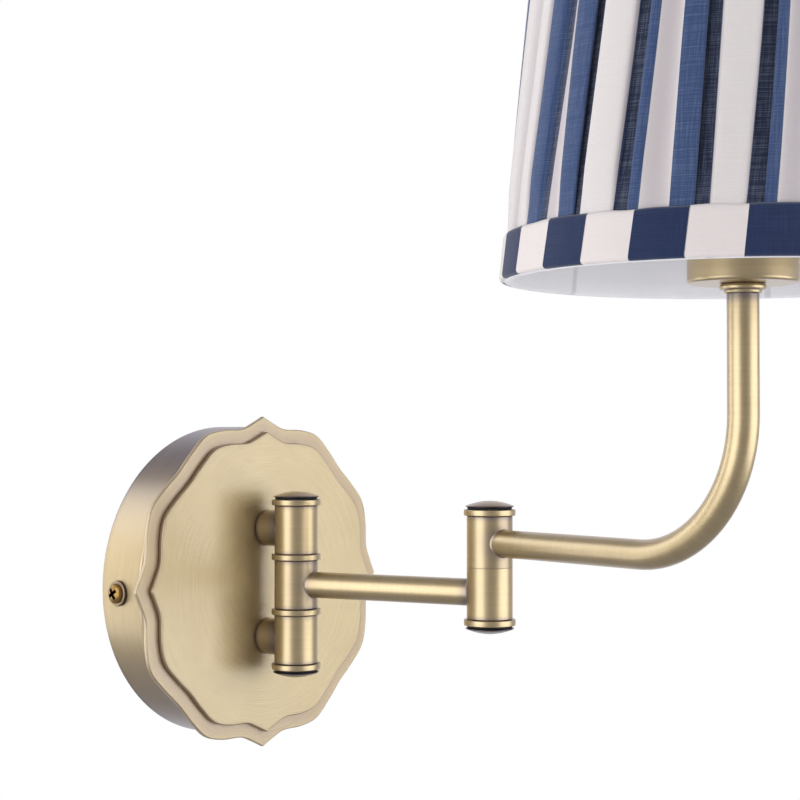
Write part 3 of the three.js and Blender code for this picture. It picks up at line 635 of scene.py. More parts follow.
def through(points, parts):
    """A smooth line through points, with a number of parts between each two."""
    ends = [points[0] * 2 - points[1]] + points + [points[-1] * 2 - points[-2]]
    line = []
    for a, b, c, d in zip(ends, ends[1:], ends[2:], ends[3:]):
        for i in range(parts):
            t = i / parts
            pull = (c - a) * t + (a * 2 - b * 5 + c * 4 - d) * t * t + (b * 3 - a - c * 3 + d) * t**3
            line.append(b + pull * 0.5)
    line.append(points[-1])
    return line


def scallop_outline(point_radius):
    """Points round the scalloped outline, denser than its lobes need, anticlockwise."""
    quarter = SCALLOP + [(90 - degrees, share) for degrees, share in SCALLOP[-2::-1]]
    outline = []
    for turn in range(4):
        corners = []
        for degrees, share in quarter:
            angle = math.radians(degrees + 90 * turn)
            corners.append(Vector((math.cos(angle), math.sin(angle))) * share * point_radius)
        outline += through(corners, 5)[:-1]
    return outline


def inset(outline, distance):
    """The outline moved towards the middle by a distance."""
    return [point * (1 - distance / point.length) for point in outline]


def pressed_plate(name, node, edge_tarnish_and_shade, painted_shadows=()):
    """A scalloped plate with a rolled edge, its face in rings that follow the outline. The edge
    values are the tarnish and painted shade at 1.5, 3, 5 and 7.5 mm from the edge, and each
    painted shadow is a soft dark patch: place, width and strength."""
    low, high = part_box(node)
    back, front = -high.y, -low.y
    outline = scallop_outline(high.z)
    roll = 0.5 * MM
    section = [(0.2 * MM, back), (0, back + 0.2 * MM), (0, front - roll - 0.1 * MM)]
    for i in range(6):
        turn = i * math.pi / 10
        section.append((roll * (1 - math.cos(turn)), front - roll * (1 - math.sin(turn))))
    section += [(roll + 0.1 * MM, front), (roll + 0.5 * MM, front)]
    rows, grain, tarnish_and_shade = [], [], []

    def add_ring(points, distance, stain_and_shade):
        rows.append([Vector((p.x, -distance, p.y)) for p in points])
        for p in points:
            grain.append((p.length, p.x, p.y))
            # Painted shadows of the posts and pivots, added to the ring's value.
            shadow_patches = sum(s * math.exp(-(((p - spot).length / w) ** 2)) for spot, w, s in painted_shadows)
            tarnish_and_shade.append(stain_and_shade + shadow_patches)

    add_ring([p * 0.3 for p in outline], back, 0.3)
    for move, distance in section:
        # The side walls are painted darker than the rolled edge: painted shade on the plate's sides.
        add_ring(inset(outline, move), distance, 0.45 if distance < front - 0.5 * roll else 0.3)
    for move, stain_and_shade in zip((1.5, 3, 5, 7.5), edge_tarnish_and_shade):
        add_ring(inset(outline, move * MM), front, stain_and_shade)
    edge = inset(outline, 9 * MM)
    for ring in range(20):
        share = 1 - ring / 20
        add_ring([p * share for p in edge], front, 0)
    rows.append([Vector((0, -front, 0))])
    grain.append((0, 0, 0))
    tarnish_and_shade.append(0)
    piece = skin(name, rows)
    write_vectors(piece, "grain", grain)
    write_floats(piece, "patina_and_shade", tarnish_and_shade)
    cap_ends(piece)
    face_outwards(piece)
    finish_piece(piece, node, PLATE_BRASS)


# ---- Posts, pivots and arms ----

KNUCKLE = 8.4 * MM
RING = 9.5 * MM
CAP = 8.9 * MM
CAP_WASHER = 8.2 * MM
PIN_HOLE = 4.8 * MM
TUBE = 5 * MM
TUBE_BORE = 3.8 * MM
TUBE_SINK = 0.3 * MM  # how far a tube's end goes into its knuckle
NIPPLE_HOLE = 4.2 * MM
CUP_RADIUS = 17.2 * MM
BEND_RADIUS = 46 * MM
BEND_STEPS = 40
SEAM_OVERLAP = 0.17 * MM  # how much each half of the elbow narrows the seam between them
SEAM_CORNER = 0.08 * MM
KNUCKLE_CORNER = 0.25 * MM
BRASS_KNUCKLES = {
    "wall_pivot_upper_knuckle": WALL_PIVOT,
    "wall_pivot_lower_knuckle": WALL_PIVOT,
    "swivel_knuckle": WALL_PIVOT,
    "elbow_lower_knuckle": ELBOW,
    "elbow_upper_knuckle": ELBOW,
}
BRASS_RINGS = {
    "wall_pivot_top_ring": WALL_PIVOT,
    "wall_pivot_upper_bearing_ring": WALL_PIVOT,
    "wall_pivot_lower_bearing_ring": WALL_PIVOT,
    "wall_pivot_bottom_ring": WALL_PIVOT,
    "elbow_top_ring": ELBOW,
    "elbow_bottom_ring": ELBOW,
}


def pivots():
    """The knuckles, rings, caps and washers of both pivots. A soft cloud of painted shade lies
    round each tube's joint with its knuckle."""
    shade_cloud_at = {
        "swivel_knuckle": (ELBOW - WALL_PIVOT, levels("arm_1_tube")),
        "elbow_upper_knuckle": (UPRIGHT - Vector((ELBOW.x, ELBOW.y, 0)), levels("elbow_upper_knuckle")),
        "elbow_lower_knuckle": (WALL_PIVOT - ELBOW, levels("arm_1_tube")),
    }
    for node, axis in BRASS_KNUCKLES.items():
        low, high = levels(node)
        if node == "elbow_lower_knuckle":
            high += SEAM_OVERLAP
        if node == "elbow_upper_knuckle":
            low -= SEAM_OVERLAP
        clouds = None
        if node in shade_cloud_at:
            towards, (bottom, top) = shade_cloud_at[node]
            spot = axis + towards.normalized() * KNUCKLE + Vector((0, 0, (bottom + top) / 2))

            # Painted shade: the knuckle is painted darker on its side towards its tube.
            def clouds(point, spot=spot):
                return 0.75 * math.exp(-(((point - spot).length / (8.5 * MM)) ** 2))

        low_seam, high_seam = node == "elbow_upper_knuckle", node == "elbow_lower_knuckle"
        profile = [
            (PIN_HOLE, low),
            (KNUCKLE, low, SEAM_CORNER if low_seam else KNUCKLE_CORNER),
            (KNUCKLE, high, SEAM_CORNER if high_seam else KNUCKLE_CORNER),
            (PIN_HOLE, high),
        ]
        tarnish_and_shade = [
            (low, 1.3 * MM, 0.15 if low_seam else 0.55),
            (high, 1.3 * MM, 0.15 if high_seam else 0.55),
        ]
        piece = turned("turned_" + node, profile, axis, patina_and_shade=tarnish_and_shade, stain_and_shade=clouds)
        finish_piece(piece, node, ANTIQUE_BRASS)
    for node, axis in BRASS_RINGS.items():
        low, high = levels(node)
        middle = (low + high) / 2
        profile = [
            (PIN_HOLE, low),
            (RING - 0.05 * MM, low, 0.3 * MM),
            (RING, middle, 1 * MM),
            (RING - 0.05 * MM, high, 0.3 * MM),
            (PIN_HOLE, high),
        ]
        tarnish_and_shade = [(low, 0.25 * MM, 0.5), (high, 0.25 * MM, 0.5)]
        piece = turned("turned_" + node, profile, axis, patina_and_shade=tarnish_and_shade, step=0.4 * MM)
        finish_piece(piece, node, ANTIQUE_BRASS)
    for joint, axis in (("wall_pivot", WALL_PIVOT), ("elbow", ELBOW)):
        for end in ("top", "bottom"):
            pivot_cap(f"{joint}_{end}", axis, end == "top")


def pivot_cap(name, axis, upright):
    """The domed cap and the dark washer under it."""
    low, high = levels(name + "_cap")
    foot, top = (low, high) if upright else (high, low)
    up = 1 if upright else -1
    rise = abs(top - foot)
    profile = [
        (0, foot + up * 1.0 * MM),
        (PIN_HOLE, foot + up * 1.0 * MM),
        (PIN_HOLE, foot),
        (CAP - 0.2 * MM, foot, 0.1 * MM),
        (CAP, foot + up * 0.14 * rise, 0.15 * MM),
    ]
    for share in (0.97, 0.9, 0.75, 0.55, 0.3):
        profile.append((CAP * share, foot + up * rise * (0.16 + 0.84 * (1 - share**2))))
    profile.append((0, top))
    tarnish_and_shade = [(foot, 0.5 * MM, 1.2)]
    # A bottom cap's dome, which faces down, is painted darker: painted shade under the pivot.
    if not upright:
        tarnish_and_shade.append((top, 1.8 * MM, 0.9))
    piece = turned("turned_" + name + "_cap", profile, axis, patina_and_shade=tarnish_and_shade, step=0.7 * MM)
    finish_piece(piece, name + "_cap", DARK_BRASS)
    low, high = levels(name + "_washer")
    profile = [
        (PIN_HOLE, low),
        (CAP_WASHER, low, 0.1 * MM),
        (CAP_WASHER, high, 0.1 * MM),
        (PIN_HOLE, high),
    ]
    piece = turned("cut_" + name + "_washer", profile, axis)
    finish_piece(piece, name + "_washer", RUBBER)


def posts():
    """The two posts: a thin dark collar at the plate, and a saddle that fits the knuckle."""
    for level in ("upper", "lower"):
        low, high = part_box(level + "_post")
        height = (low.z + high.z) / 2
        radius = (high.z - low.z) / 2
        start = Vector((0, high.y, height))
        end = Vector((0, WALL_PIVOT.y + KNUCKLE + 0.1 * MM, height))
        line = straight(start, end, 0.6 * MM)
        length = (end - start).length
        tarnish_and_shade = [(0, 0.7 * MM, 1.1), (length, 3.5 * MM, 0.8)]
        name = f"{level}_post"
        piece = swept("turned_" + name, line, radius, (0, KNUCKLE), tarnish_and_shade, 64, NIPPLE_HOLE, 0.5 * MM)
        finish_piece(piece, name, ANTIQUE_BRASS)


def arms():
    """The straight first tube, and the second one with its bend up into the upright. The close
    stops of a straight stretch are left out where it runs into the bend."""
    outer = KNUCKLE - TUBE_SINK
    level = Vector((0, 0, middle_of("arm_1_tube").z))
    along = (ELBOW - WALL_PIVOT).normalized()
    line = straight(WALL_PIVOT + level + along * outer, ELBOW + level - along * outer)
    length = (line[-1] - line[0]).length
    tarnish_and_shade = [(0, 2.2 * MM, 0.55), (length, 3 * MM, 0.75)]
    piece = swept("drawn_arm_1_tube", line, TUBE, (KNUCKLE, KNUCKLE), tarnish_and_shade, bore=TUBE_BORE)
    finish_piece(piece, "arm_1_tube", ANTIQUE_BRASS)

    top = levels("arm_2_tube")[1]
    height = levels("arm_2_tube")[0] + TUBE
    along = UPRIGHT - Vector((ELBOW.x, ELBOW.y, 0))
    span = along.length
    along.normalize()
    foot = Vector((ELBOW.x, ELBOW.y, height))
    close = len(END_STOPS)
    line = straight(foot + along * outer, foot + along * (span - BEND_RADIUS))[:-close]
    for i in range(BEND_STEPS + 1):
        turn = i * math.pi / (2 * BEND_STEPS)
        out = span - BEND_RADIUS + BEND_RADIUS * math.sin(turn)
        line.append(foot + along * out + Vector((0, 0, BEND_RADIUS * (1 - math.cos(turn)))))
    post = straight(line[-1], Vector((UPRIGHT.x, UPRIGHT.y, top)))
    line += post[close:]
    length = sum((b - a).length for a, b in zip(line, line[1:]))
    tarnish_and_shade = [(0, 2.2 * MM, 0.5), (length, 2.5 * MM, 0.8)]
    piece = swept("bent_arm_2_tube", line, TUBE, (KNUCKLE, 0), tarnish_and_shade, bore=TUBE_BORE)
    finish_piece(piece, "arm_2_tube", ANTIQUE_BRASS)


# ---- Lampholder and bulb ----

def lampholder():
    """The collar, cup, insulator, threaded sleeve and ring nuts, and the bulb in them."""
    low, high = levels("lampholder_collar")
    profile = [
        (NIPPLE_HOLE, low),
        (5.7 * MM, low, 0.2 * MM),
        (6.0 * MM, low + 0.9 * MM, 0.3 * MM),
        (7.1 * MM, low + 1.2 * MM, 0.3 * MM),
        (7.25 * MM, high - 0.8 * MM, 0.4 * MM),
        (6.9 * MM, high, 0.3 * MM),
        (NIPPLE_HOLE, high),
    ]
    tarnish_and_shade = [(high, 0.3 * MM, 0.4), (low + 0.9 * MM, 0.3 * MM, 0.4)]
    piece = turned("turned_collar", profile, UPRIGHT, patina_and_shade=tarnish_and_shade, step=0.4 * MM)
    finish_piece(piece, "lampholder_collar", ANTIQUE_BRASS)

    low, high = levels("lampholder_cup")
    radius, wall = CUP_RADIUS, 0.9 * MM
    profile = [
        (NIPPLE_HOLE, low),
        (radius, low, 1.1 * MM),
        (radius, high, 0.4 * MM),
        (radius - wall, high, 0.4 * MM),
        (radius - wall, low + wall, 0.8 * MM),
        (NIPPLE_HOLE, low + wall),
    ]
    tarnish_and_shade = [(low + 1.4 * MM, 0.7 * MM, 0.2), (high, 1.5 * MM, 0.5)]
    piece = turned("spun_lampholder_cup", profile, UPRIGHT, patina_and_shade=tarnish_and_shade)
    finish_piece(piece, "lampholder_cup", ANTIQUE_BRASS)

    low, high = levels("lampholder_body")
    radius = 15.9 * MM
    bore = 13.9 * MM
    floor = levels("lampholder_contact")[0]
    thread = 2.2 * MM
    profile = [
        (NIPPLE_HOLE, low),
        (radius - 2.6 * MM, low, 0.6 * MM),
        (radius, low + 2.6 * MM, 0.6 * MM),
        (radius, high, 0.8 * MM),
        (bore, high, 0.5 * MM),
    ]
    profile += [(bore + 0.25 * MM * (i % 2), high - 2 * MM - thread * i / 2) for i in range(16)]
    profile += [(bore, floor, 0.5 * MM), (NIPPLE_HOLE, floor)]
    piece = turned("moulded_lampholder", profile, UPRIGHT)
    finish_piece(piece, "lampholder_body", INSULATOR)

    low, high = levels("lampholder_sleeve")
    inner = 16.0 * MM
    pitch = 1.6 * MM
    turns = int((high - low - 2 * MM) / pitch)
    profile = [(inner, low), (16.3 * MM, low, 0.1 * MM)]
    for i in range(1, turns * 2):
        profile.append(((16.5 if i % 2 else 16.22) * MM, low + MM + pitch * i / 2))
    profile += [(16.3 * MM, high, 0.1 * MM), (inner, high)]
    piece = turned("threaded_lampholder_sleeve", profile, UPRIGHT)
    finish_piece(piece, "lampholder_sleeve", TURNED_BRASS)

    def knurl(angle):
        return 1 + 0.012 * math.cos(48 * angle)

    for level in ("lower", "upper"):
        low, high = levels("shade_nut_" + level)
        profile = [
            (16.8 * MM, low),
            (20.6 * MM, low, 0.5 * MM),
            (20.6 * MM, high, 0.5 * MM),
            (16.8 * MM, high),
        ]
        piece = turned(f"knurled_shade_nut_{level}", profile, UPRIGHT, sides=288, flute=knurl)
        finish_piece(piece, "shade_nut_" + level, TURNED_BRASS)

    low, high = levels("bulb_cap")
    rim, wall = 13.1 * MM, 0.8 * MM
    profile = [(0, low), (4 * MM, low, MM), (rim - MM, low + 5 * MM, MM), (rim, low + 6 * MM)]
    profile += [(rim - 0.5 * MM * (i % 2), low + (7 + 1.8 * i) * MM) for i in range(14)]
    profile += [(rim, high), (rim - wall, high), (rim - wall - MM, low + 6 * MM), (0, low + 6 * MM)]
    piece = turned("rolled_bulb_cap", profile, UPRIGHT)
    finish_piece(piece, "bulb_cap", STEEL)

    low, high = levels("bulb_glass")
    ball, neck = 22.5 * MM, 13.4 * MM
    centre = high - ball
    outside = [(neck, low, 0.3 * MM), (neck, low + 5 * MM, 5 * MM)]
    first = math.degrees(math.asin((low + 9 * MM - centre) / ball))
    for i in range(15):
        turn = math.radians(first + (90 - first) * i / 15)
        outside.append((ball * math.cos(turn), centre + ball * math.sin(turn)))
    inside = [(point[0] - MM, point[1]) for point in outside[1:] if point[0] > 1.2 * MM]
    profile = outside + [(0, high), (0, high - MM)] + inside[::-1] + [(neck - MM, low)]
    start = profile.index((0, high - MM))
    piece = turned("blown_bulb_glass", profile[start:] + profile[:start], UPRIGHT, step=1.5 * MM)
    finish_piece(piece, "bulb_glass", OPAL_GLASS)


# ---- Screws, by geometry nodes ----

class Tree:
    """A geometry node tree with named inputs for its sizes."""

    def __init__(self, name, inputs):
        self.tree = bpy.data.node_groups.new(name, "GeometryNodeTree")
        face = self.tree.interface
        face.new_socket("Geometry", in_out="INPUT", socket_type="NodeSocketGeometry")
        self.ids = {}
        for key, value in inputs.items():
            kind = "NodeSocketInt" if isinstance(value, int) else "NodeSocketFloat"
            made = face.new_socket(key, in_out="INPUT", socket_type=kind)
            made.default_value = value
            self.ids[key] = made.identifier
        face.new_socket("Geometry", in_out="OUTPUT", socket_type="NodeSocketGeometry")
        self.start = self.tree.nodes.new("NodeGroupInput")

    def size(self, name):
        return self.start.outputs[name]

    def node(self, kind, settings=None, sockets=None, out=0):
        made = self.tree.nodes.new(kind)
        for key, value in (settings or {}).items():
            setattr(made, key, value)
        for key, value in (sockets or {}).items():
            for link in value if isinstance(value, list) else [value]:
                if isinstance(link, bpy.types.NodeSocket):
                    self.tree.links.new(link, made.inputs[key])
                else:
                    made.inputs[key].default_value = link
        return made.outputs[out]

    def maths(self, operation, first, second):
        return self.node("ShaderNodeMath", {"operation": operation}, {0: first, 1: second})

    def vector(self, x, y, z):
        return self.node("ShaderNodeCombineXYZ", None, {0: x, 1: y, 2: z})

    def moved(self, geometry, offset):
        return self.node("GeometryNodeTransform", None, {0: geometry, "Translation": offset})

    def finish(self, geometry, material):
        """Ends the tree in real, smooth geometry with its material set."""
        real = self.node("GeometryNodeRealizeInstances", None, {0: geometry})
        coated = self.node("GeometryNodeSetMaterial", None, {0: real, "Material": material})
        end = self.tree.nodes.new("NodeGroupOutput")
        self.tree.links.new(coated, end.inputs[0])

    def grow(self, name, points, sizes):
        """Runs the tree on a mesh of loose points and returns the result as a plain piece."""
        mesh = bpy.data.meshes.new(name + "_points")
        mesh.from_pydata(points, [], [])
        seed = bpy.data.objects.new(name + "_points", mesh)
        bpy.context.scene.collection.objects.link(seed)
        modifier = seed.modifiers.new("grow", "NODES")
        modifier.node_group = self.tree
        for key, value in sizes.items():
            modifier[self.ids[key]] = value
        seen = seed.evaluated_get(bpy.context.evaluated_depsgraph_get())
        grown = bpy.data.meshes.new_from_object(seen)
        grown.name = name
        bpy.data.objects.remove(seed)
        piece = bpy.data.objects.new(name, grown)
        bpy.context.scene.collection.objects.link(piece)
        return piece


SCREW_HEAD = 1.9 * MM


def screw_tree():
    """Pan-head screws on points, their axes along +Z: a domed head with a crossed recess over a
    threaded shank. The recess is painted darker the deeper it goes: painted shade, and partly
    the blackening in it."""
    tree = Tree("pan_head_screws", {
        "Head Radius": 0.0038,
        "Head Height": SCREW_HEAD,
        "Shank Radius": 0.0019,
        "Shank Length": 0.007,
        "Thread Pitch": 0.0007,
    })
    radius, height = tree.size("Head Radius"), tree.size("Head Height")
    ball = tree.node("GeometryNodeMeshUVSphere", None, {"Segments": 48, "Rings": 32, "Radius": 1.0})
    dome = tree.node(
        "GeometryNodeTransform", None, {0: ball, "Scale": tree.vector(radius, radius, height)}
    )
    drum = tree.node(
        "GeometryNodeMeshCylinder",
        None,
        {"Vertices": 48, "Radius": tree.maths("MULTIPLY", radius, 0.97), "Depth": height},
    )
    drum = tree.moved(drum, tree.vector(0.0, 0.0, tree.maths("MULTIPLY", height, 0.5)))
    head = tree.node(
        "GeometryNodeMeshBoolean", {"operation": "INTERSECT", "solver": "EXACT"}, {1: [dome, drum]}
    )
    long_side = tree.maths("MULTIPLY", radius, 1.2)
    short_side = tree.maths("MULTIPLY", radius, 0.34)
    recess = tree.vector(0.0, 0.0, tree.maths("MULTIPLY", height, 0.8))
    bars = []
    for x, y in ((long_side, short_side), (short_side, long_side)):
        size = tree.vector(x, y, height)
        bars.append(tree.moved(tree.node("GeometryNodeMeshCube", None, {"Size": size}), recess))
    head = tree.node(
        "GeometryNodeMeshBoolean", {"operation": "DIFFERENCE", "solver": "EXACT"}, {0: head, 1: bars}
    )
    place = tree.node("GeometryNodeInputPosition")
    share = tree.node(
        "ShaderNodeVectorMath",
        {"operation": "DIVIDE"},
        {0: place, 1: tree.vector(radius, radius, height)},
    )
    depth = tree.node("ShaderNodeVectorMath", {"operation": "LENGTH"}, {0: share}, out=1)
    depth = tree.maths("SUBTRACT", 0.97, depth)
    # Painted shade in the recess, stored as the patina value.
    head = tree.node("GeometryNodeStoreNamedAttribute", None, {
        0: head,
        "Name": "patina_and_shade",
        "Value": tree.maths("MULTIPLY", depth, 12.0),
    })
    length, shank = tree.size("Shank Length"), tree.size("Shank Radius")
    turns = tree.maths("DIVIDE", length, tree.size("Thread Pitch"))
    thread = tree.node("GeometryNodeCurveSpiral", None, {
        "Resolution": 14,
        "Rotations": turns,
        "Start Radius": shank,
        "End Radius": shank,
        "Height": length,
    })
    ridge = tree.node("GeometryNodeCurvePrimitiveCircle", None, {
        "Resolution": 4,
        "Radius": tree.maths("MULTIPLY", tree.size("Thread Pitch"), 0.45),
    })
    thread = tree.node("GeometryNodeCurveToMesh", None, {0: thread, 1: ridge, "Fill Caps": True})
    thread = tree.moved(thread, tree.vector(0.0, 0.0, tree.maths("MULTIPLY", length, -1.0)))
    core = tree.node("GeometryNodeMeshCylinder", None, {
        "Vertices": 24,
        "Radius": tree.maths("MULTIPLY", shank, 0.95),
        "Depth": length,
    })
    core = tree.moved(core, tree.vector(0.0, 0.0, tree.maths("MULTIPLY", length, -0.5)))
    whole = tree.node("GeometryNodeJoinGeometry", None, {0: [head, thread, core]})
    spots = tree.node("GeometryNodeMeshToPoints", None, {0: tree.size("Geometry")})
    copies = tree.node("GeometryNodeInstanceOnPoints", None, {0: spots, "Instance": whole})
    tree.finish(copies, TURNED_BRASS)
    return tree


def turn_mesh(piece, rotation, centre):
    """Turns a piece's mesh and then moves it, leaving the object itself at the origin."""
    piece.data.transform(rotation)
    piece.data.transform(centre)


def shade_by_angle(piece, degrees=35):
    """Smooth shading, with the edges sharper than an angle left crisp."""
    shell = bmesh.new()
    shell.from_mesh(piece.data)
    bmesh.ops.remove_doubles(shell, verts=shell.verts, dist=1e-6)
    for face in shell.faces:
        face.smooth = True
    for edge in shell.edges:
        if len(edge.link_faces) == 2 and edge.calc_face_angle(0) > math.radians(degrees):
            edge.smooth = False
    shell.to_mesh(piece.data)
    shell.free()


RECESS_TURN = 32  # degrees: how the crossed recess of a side screw lies


def screws():
    """The two side screws with their washers, and the earth screw."""
    tree = screw_tree()
    for side, turn in (("left", -90), ("right", 90)):
        node = "side_screw_" + side
        low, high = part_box(node)
        middle = middle_of(node)
        foot = low.x if side == "left" else high.x
        sign = -1 if side == "left" else 1
        seat = Vector((foot - sign * SCREW_HEAD, middle.y, middle.z))
        piece = tree.grow("pan_head_" + node, [(0, 0, 0)], {"Shank Length": 6.6 * MM})
        spin = Matrix.Rotation(math.radians(RECESS_TURN), 4, "Z")
        turned_to = Matrix.Rotation(math.radians(turn), 4, "Y") @ spin
        turn_mesh(piece, turned_to, Matrix.Translation(seat))
        shade_by_angle(piece)
        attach(piece, "root")
        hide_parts(node)
        raised_washer(side, sign)
    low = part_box("earth_screw")[0]
    middle = middle_of("earth_screw")
    height = 1.8 * MM
    sizes = {
        "Head Radius": 3 * MM,
        "Head Height": height,
        "Shank Radius": 1.4 * MM,
        "Shank Length": 1.7 * MM,
        "Thread Pitch": 0.5 * MM,
    }
    piece = tree.grow("pan_head_earth_screw", [(0, 0, 0)], sizes)
    seat = Vector((middle.x, low.y + height, middle.z))
    turn_mesh(piece, Matrix.Rotation(math.radians(90), 4, "X"), Matrix.Translation(seat))
    shade_by_angle(piece)
    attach(piece, "root")
    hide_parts("earth_screw")


def raised_washer(side, sign):
    """The raised ring round a side screw, turned about X."""
    node = "side_washer_" + side
    low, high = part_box(node)
    thick = high.x - low.x
    profile = [
        (2.3 * MM, 0),
        (4.9 * MM, 0, 0.1 * MM),
        (4.75 * MM, thick, 0.35 * MM),
        (2.3 * MM, thick, 0.2 * MM),
    ]
    tarnish_and_shade = [(0, 0.6 * MM, 1.5)]
    piece = turned("pressed_" + node, profile, Vector(), patina_and_shade=tarnish_and_shade, step=0.3 * MM, sides=64)
    foot = low.x if side == "right" else high.x
    seat = Vector((foot, (low.y + high.y) / 2, (low.z + high.z) / 2))
    turn_mesh(piece, Matrix.Rotation(math.radians(90 * sign), 4, "Y"), Matrix.Translation(seat))
    finish_piece(piece, node, DARK_BRASS)


# ---- Shade ----

SHADE_BOTTOM, SHADE_TOP = levels("shade_bottom_hem")[0], levels("shade_top_hem")[1]
SHADE_HEIGHT = SHADE_TOP - SHADE_BOTTOM
BOTTOM_RADIUS, TOP_RADIUS = 75 * MM, 61 * MM
HEM_HEIGHT = 13.5 * MM
HEM_START = 10.25  # degrees: where one of the hem's stripes ends
HEM_STRIPE = 12.3  # degrees: the width of a hem's stripe
HEM_LEAN = 76  # degrees a metre: how far the hem's stripes lean as they rise
FRONT = 221.5  # degrees: where the pleats are counted from, clockwise seen from above
PLEAT_START = 10.55  # degrees: where the first pleat starts
TWIST = 65  # degrees a metre: how far the pleats lean as they rise


def rim(height):
    """The radius of the hem's face at a height above the bottom rim."""
    return BOTTOM_RADIUS - (BOTTOM_RADIUS - TOP_RADIUS) * height / SHADE_HEIGHT


def on_shade(degrees, radius, height):
    """A point round the shade, at a height above the bottom rim."""
    angle = math.radians(FRONT - degrees)
    return UPRIGHT + Vector((
        radius * math.cos(angle),
        radius * math.sin(angle),
        SHADE_BOTTOM + height,
    ))


def smooth(share):
    """A share held between 0 and 1, eased at both ends."""
    share = min(1, max(0, share))
    return share * share * (3 - 2 * share)


# The path of the cloth round one pleat, seen from above: degrees, depth from 0 at the crest to 1
# at the bottom of a fold, and whether a stripe ends there.
PLEAT = [
    (0.0, 0.55, True), (0.6, 0.14, False), (1.6, 0.02, False), (3.7, 0.0, False),
    (5.8, 0.02, False), (6.7, 0.14, False), (7.3, 0.55, True), (7.6, 0.92, False),
    (8.8, 1.0, False), (11.4, 1.0, False), (12.1, 0.8, False), (11.8, 0.58, False),
    (11.1, 0.44, False), (10.9, 0.24, False), (11.5, 0.1, False), (13.6, 0.06, False),
    (15.4, 0.16, False), (16.2, 0.3, True), (17.8, 0.56, False), (20.0, 0.7, False),
    (22.2, 0.56, False), (23.5, 0.3, True), (24.0, 0.18, False), (24.7, 0.07, False),
    (25.5, 0.1, False), (26.0, 0.24, False), (25.8, 0.44, False), (25.1, 0.58, False),
    (24.8, 0.8, False), (25.6, 1.0, False), (28.4, 1.0, False), (29.6, 0.92, False),
]
# The same for a pleat whose second stripe closes to a wedge as it rises.
WEDGE_PLEAT = [
    (0.0, 0.55, True), (0.6, 0.14, False), (1.8, 0.02, False), (4.6, 0.0, False),
    (7.4, 0.03, False), (8.5, 0.16, False), (9.1, 0.55, True), (9.4, 0.92, False),
    (10.0, 1.0, False), (11.9, 1.0, False), (12.4, 0.8, False), (12.1, 0.58, False),
    (11.3, 0.44, False), (11.0, 0.24, False), (11.5, 0.1, False), (13.6, 0.06, False),
    (15.2, 0.14, False), (16.0, 0.3, True), (17.2, 0.5, False), (18.5, 0.6, False),
    (19.8, 0.66, False), (21.0, 0.72, True), (22.0, 0.8, False), (23.0, 0.82, False),
    (23.9, 0.6, False), (24.6, 0.2, False), (26.0, 0.08, False), (27.6, 0.05, False),
    (29.0, 0.1, False), (29.7, 0.3, False),
]
# A pleat with one wide pale stripe that sinks in the middle, and one navy one.
WIDE_PLEAT = [
    (0.6, 0.55, True), (1.2, 0.16, False), (2.4, 0.03, False), (4.4, 0.06, False),
    (6.6, 0.38, False), (8.6, 0.6, False), (10.8, 0.46, False), (13.4, 0.1, False),
    (16.4, 0.02, False), (18.4, 0.16, False), (19.2, 0.55, True), (19.5, 0.92, False),
    (20.4, 1.0, False), (21.9, 1.0, False), (22.4, 0.8, False), (22.0, 0.58, False),
    (21.3, 0.5, False), (21.1, 0.42, False), (21.7, 0.36, False), (24.0, 0.3, False),
    (26.8, 0.2, False), (28.8, 0.2, False), (29.6, 0.35, False),
]
# Each kind of pleat, with how far in degrees its stripes' ends drift by half height.
PLEATS = {
    "P": (PLEAT, [-0.8, 1.0, 1.2, -0.3]),
    "W": (WEDGE_PLEAT, [-0.6, 0.0, 2.3, -1.0]),
    "X": (WIDE_PLEAT, [-0.4, 0.3]),
}
PLEAT_ORDER = "PWXPWXPWXPWP"
PLEAT_WIDTH = 360 / len(PLEAT_ORDER)


def pleat_knots():
    """The cloth's path round the whole shade: degrees, drift, depth and stripe number."""
    knots = []
    stripe = 0
    for index, kind in enumerate(PLEAT_ORDER):
        pleat, drifts = PLEATS[kind]
        following = PLEATS[PLEAT_ORDER[(index + 1) % len(PLEAT_ORDER)]][1]
        drifts = drifts + following[:1]
        ends = [degrees for degrees, depth, is_end in pleat if is_end] + [PLEAT_WIDTH]
        number = -1
        for degrees, depth, is_end in pleat:
            number += is_end
            span = ends[number + 1] - ends[number]
            share = min(1, max(0, (degrees - ends[number]) / span))
            drift = drifts[number] * (1 - share) + drifts[number + 1] * share
            knots.append([degrees + PLEAT_WIDTH * index, drift, depth, stripe + number + share])
        stripe += len(ends) - 1
    return knots, stripe


def cloth_columns():
    """Samples along the cloth's path, rounded through its knots."""
    knots, stripes = pleat_knots()

    def turn_on(knot, turns):
        degrees, drift, depth, stripe = knot
        return [degrees + 360 * turns, drift, depth, stripe + stripes * turns]

    first, second, last = turn_on(knots[0], 1), turn_on(knots[1], 1), turn_on(knots[-1], -1)
    line = [last] + knots + [first, second]
    columns = []
    for a, b, c, d in zip(line, line[1:], line[2:], line[3:]):
        for i in range(3):
            t = i / 3
            column = []
            for p, q, r, s in zip(a, b, c, d):
                pull = (r - p) * t + (2 * p - 5 * q + 4 * r - s) * t**2 + (3 * q - p - 3 * r + s) * t**3
                column.append(q + 0.5 * pull)
            column[3] = b[3] + (c[3] - b[3]) * t
            columns.append(column)
    columns.append(first)
    return columns


def add_cloth_map(piece, rows, us, vs):
    """A UV map in metres of cloth, from each row's and each column's place."""
    layer = piece.data.uv_layers.new(name="cloth")
    count = len(rows[0])
    for loop in piece.data.loops:
        row, column = divmod(loop.vertex_index, count)
        layer.data[loop.index].uv = (us[column], vs[row])


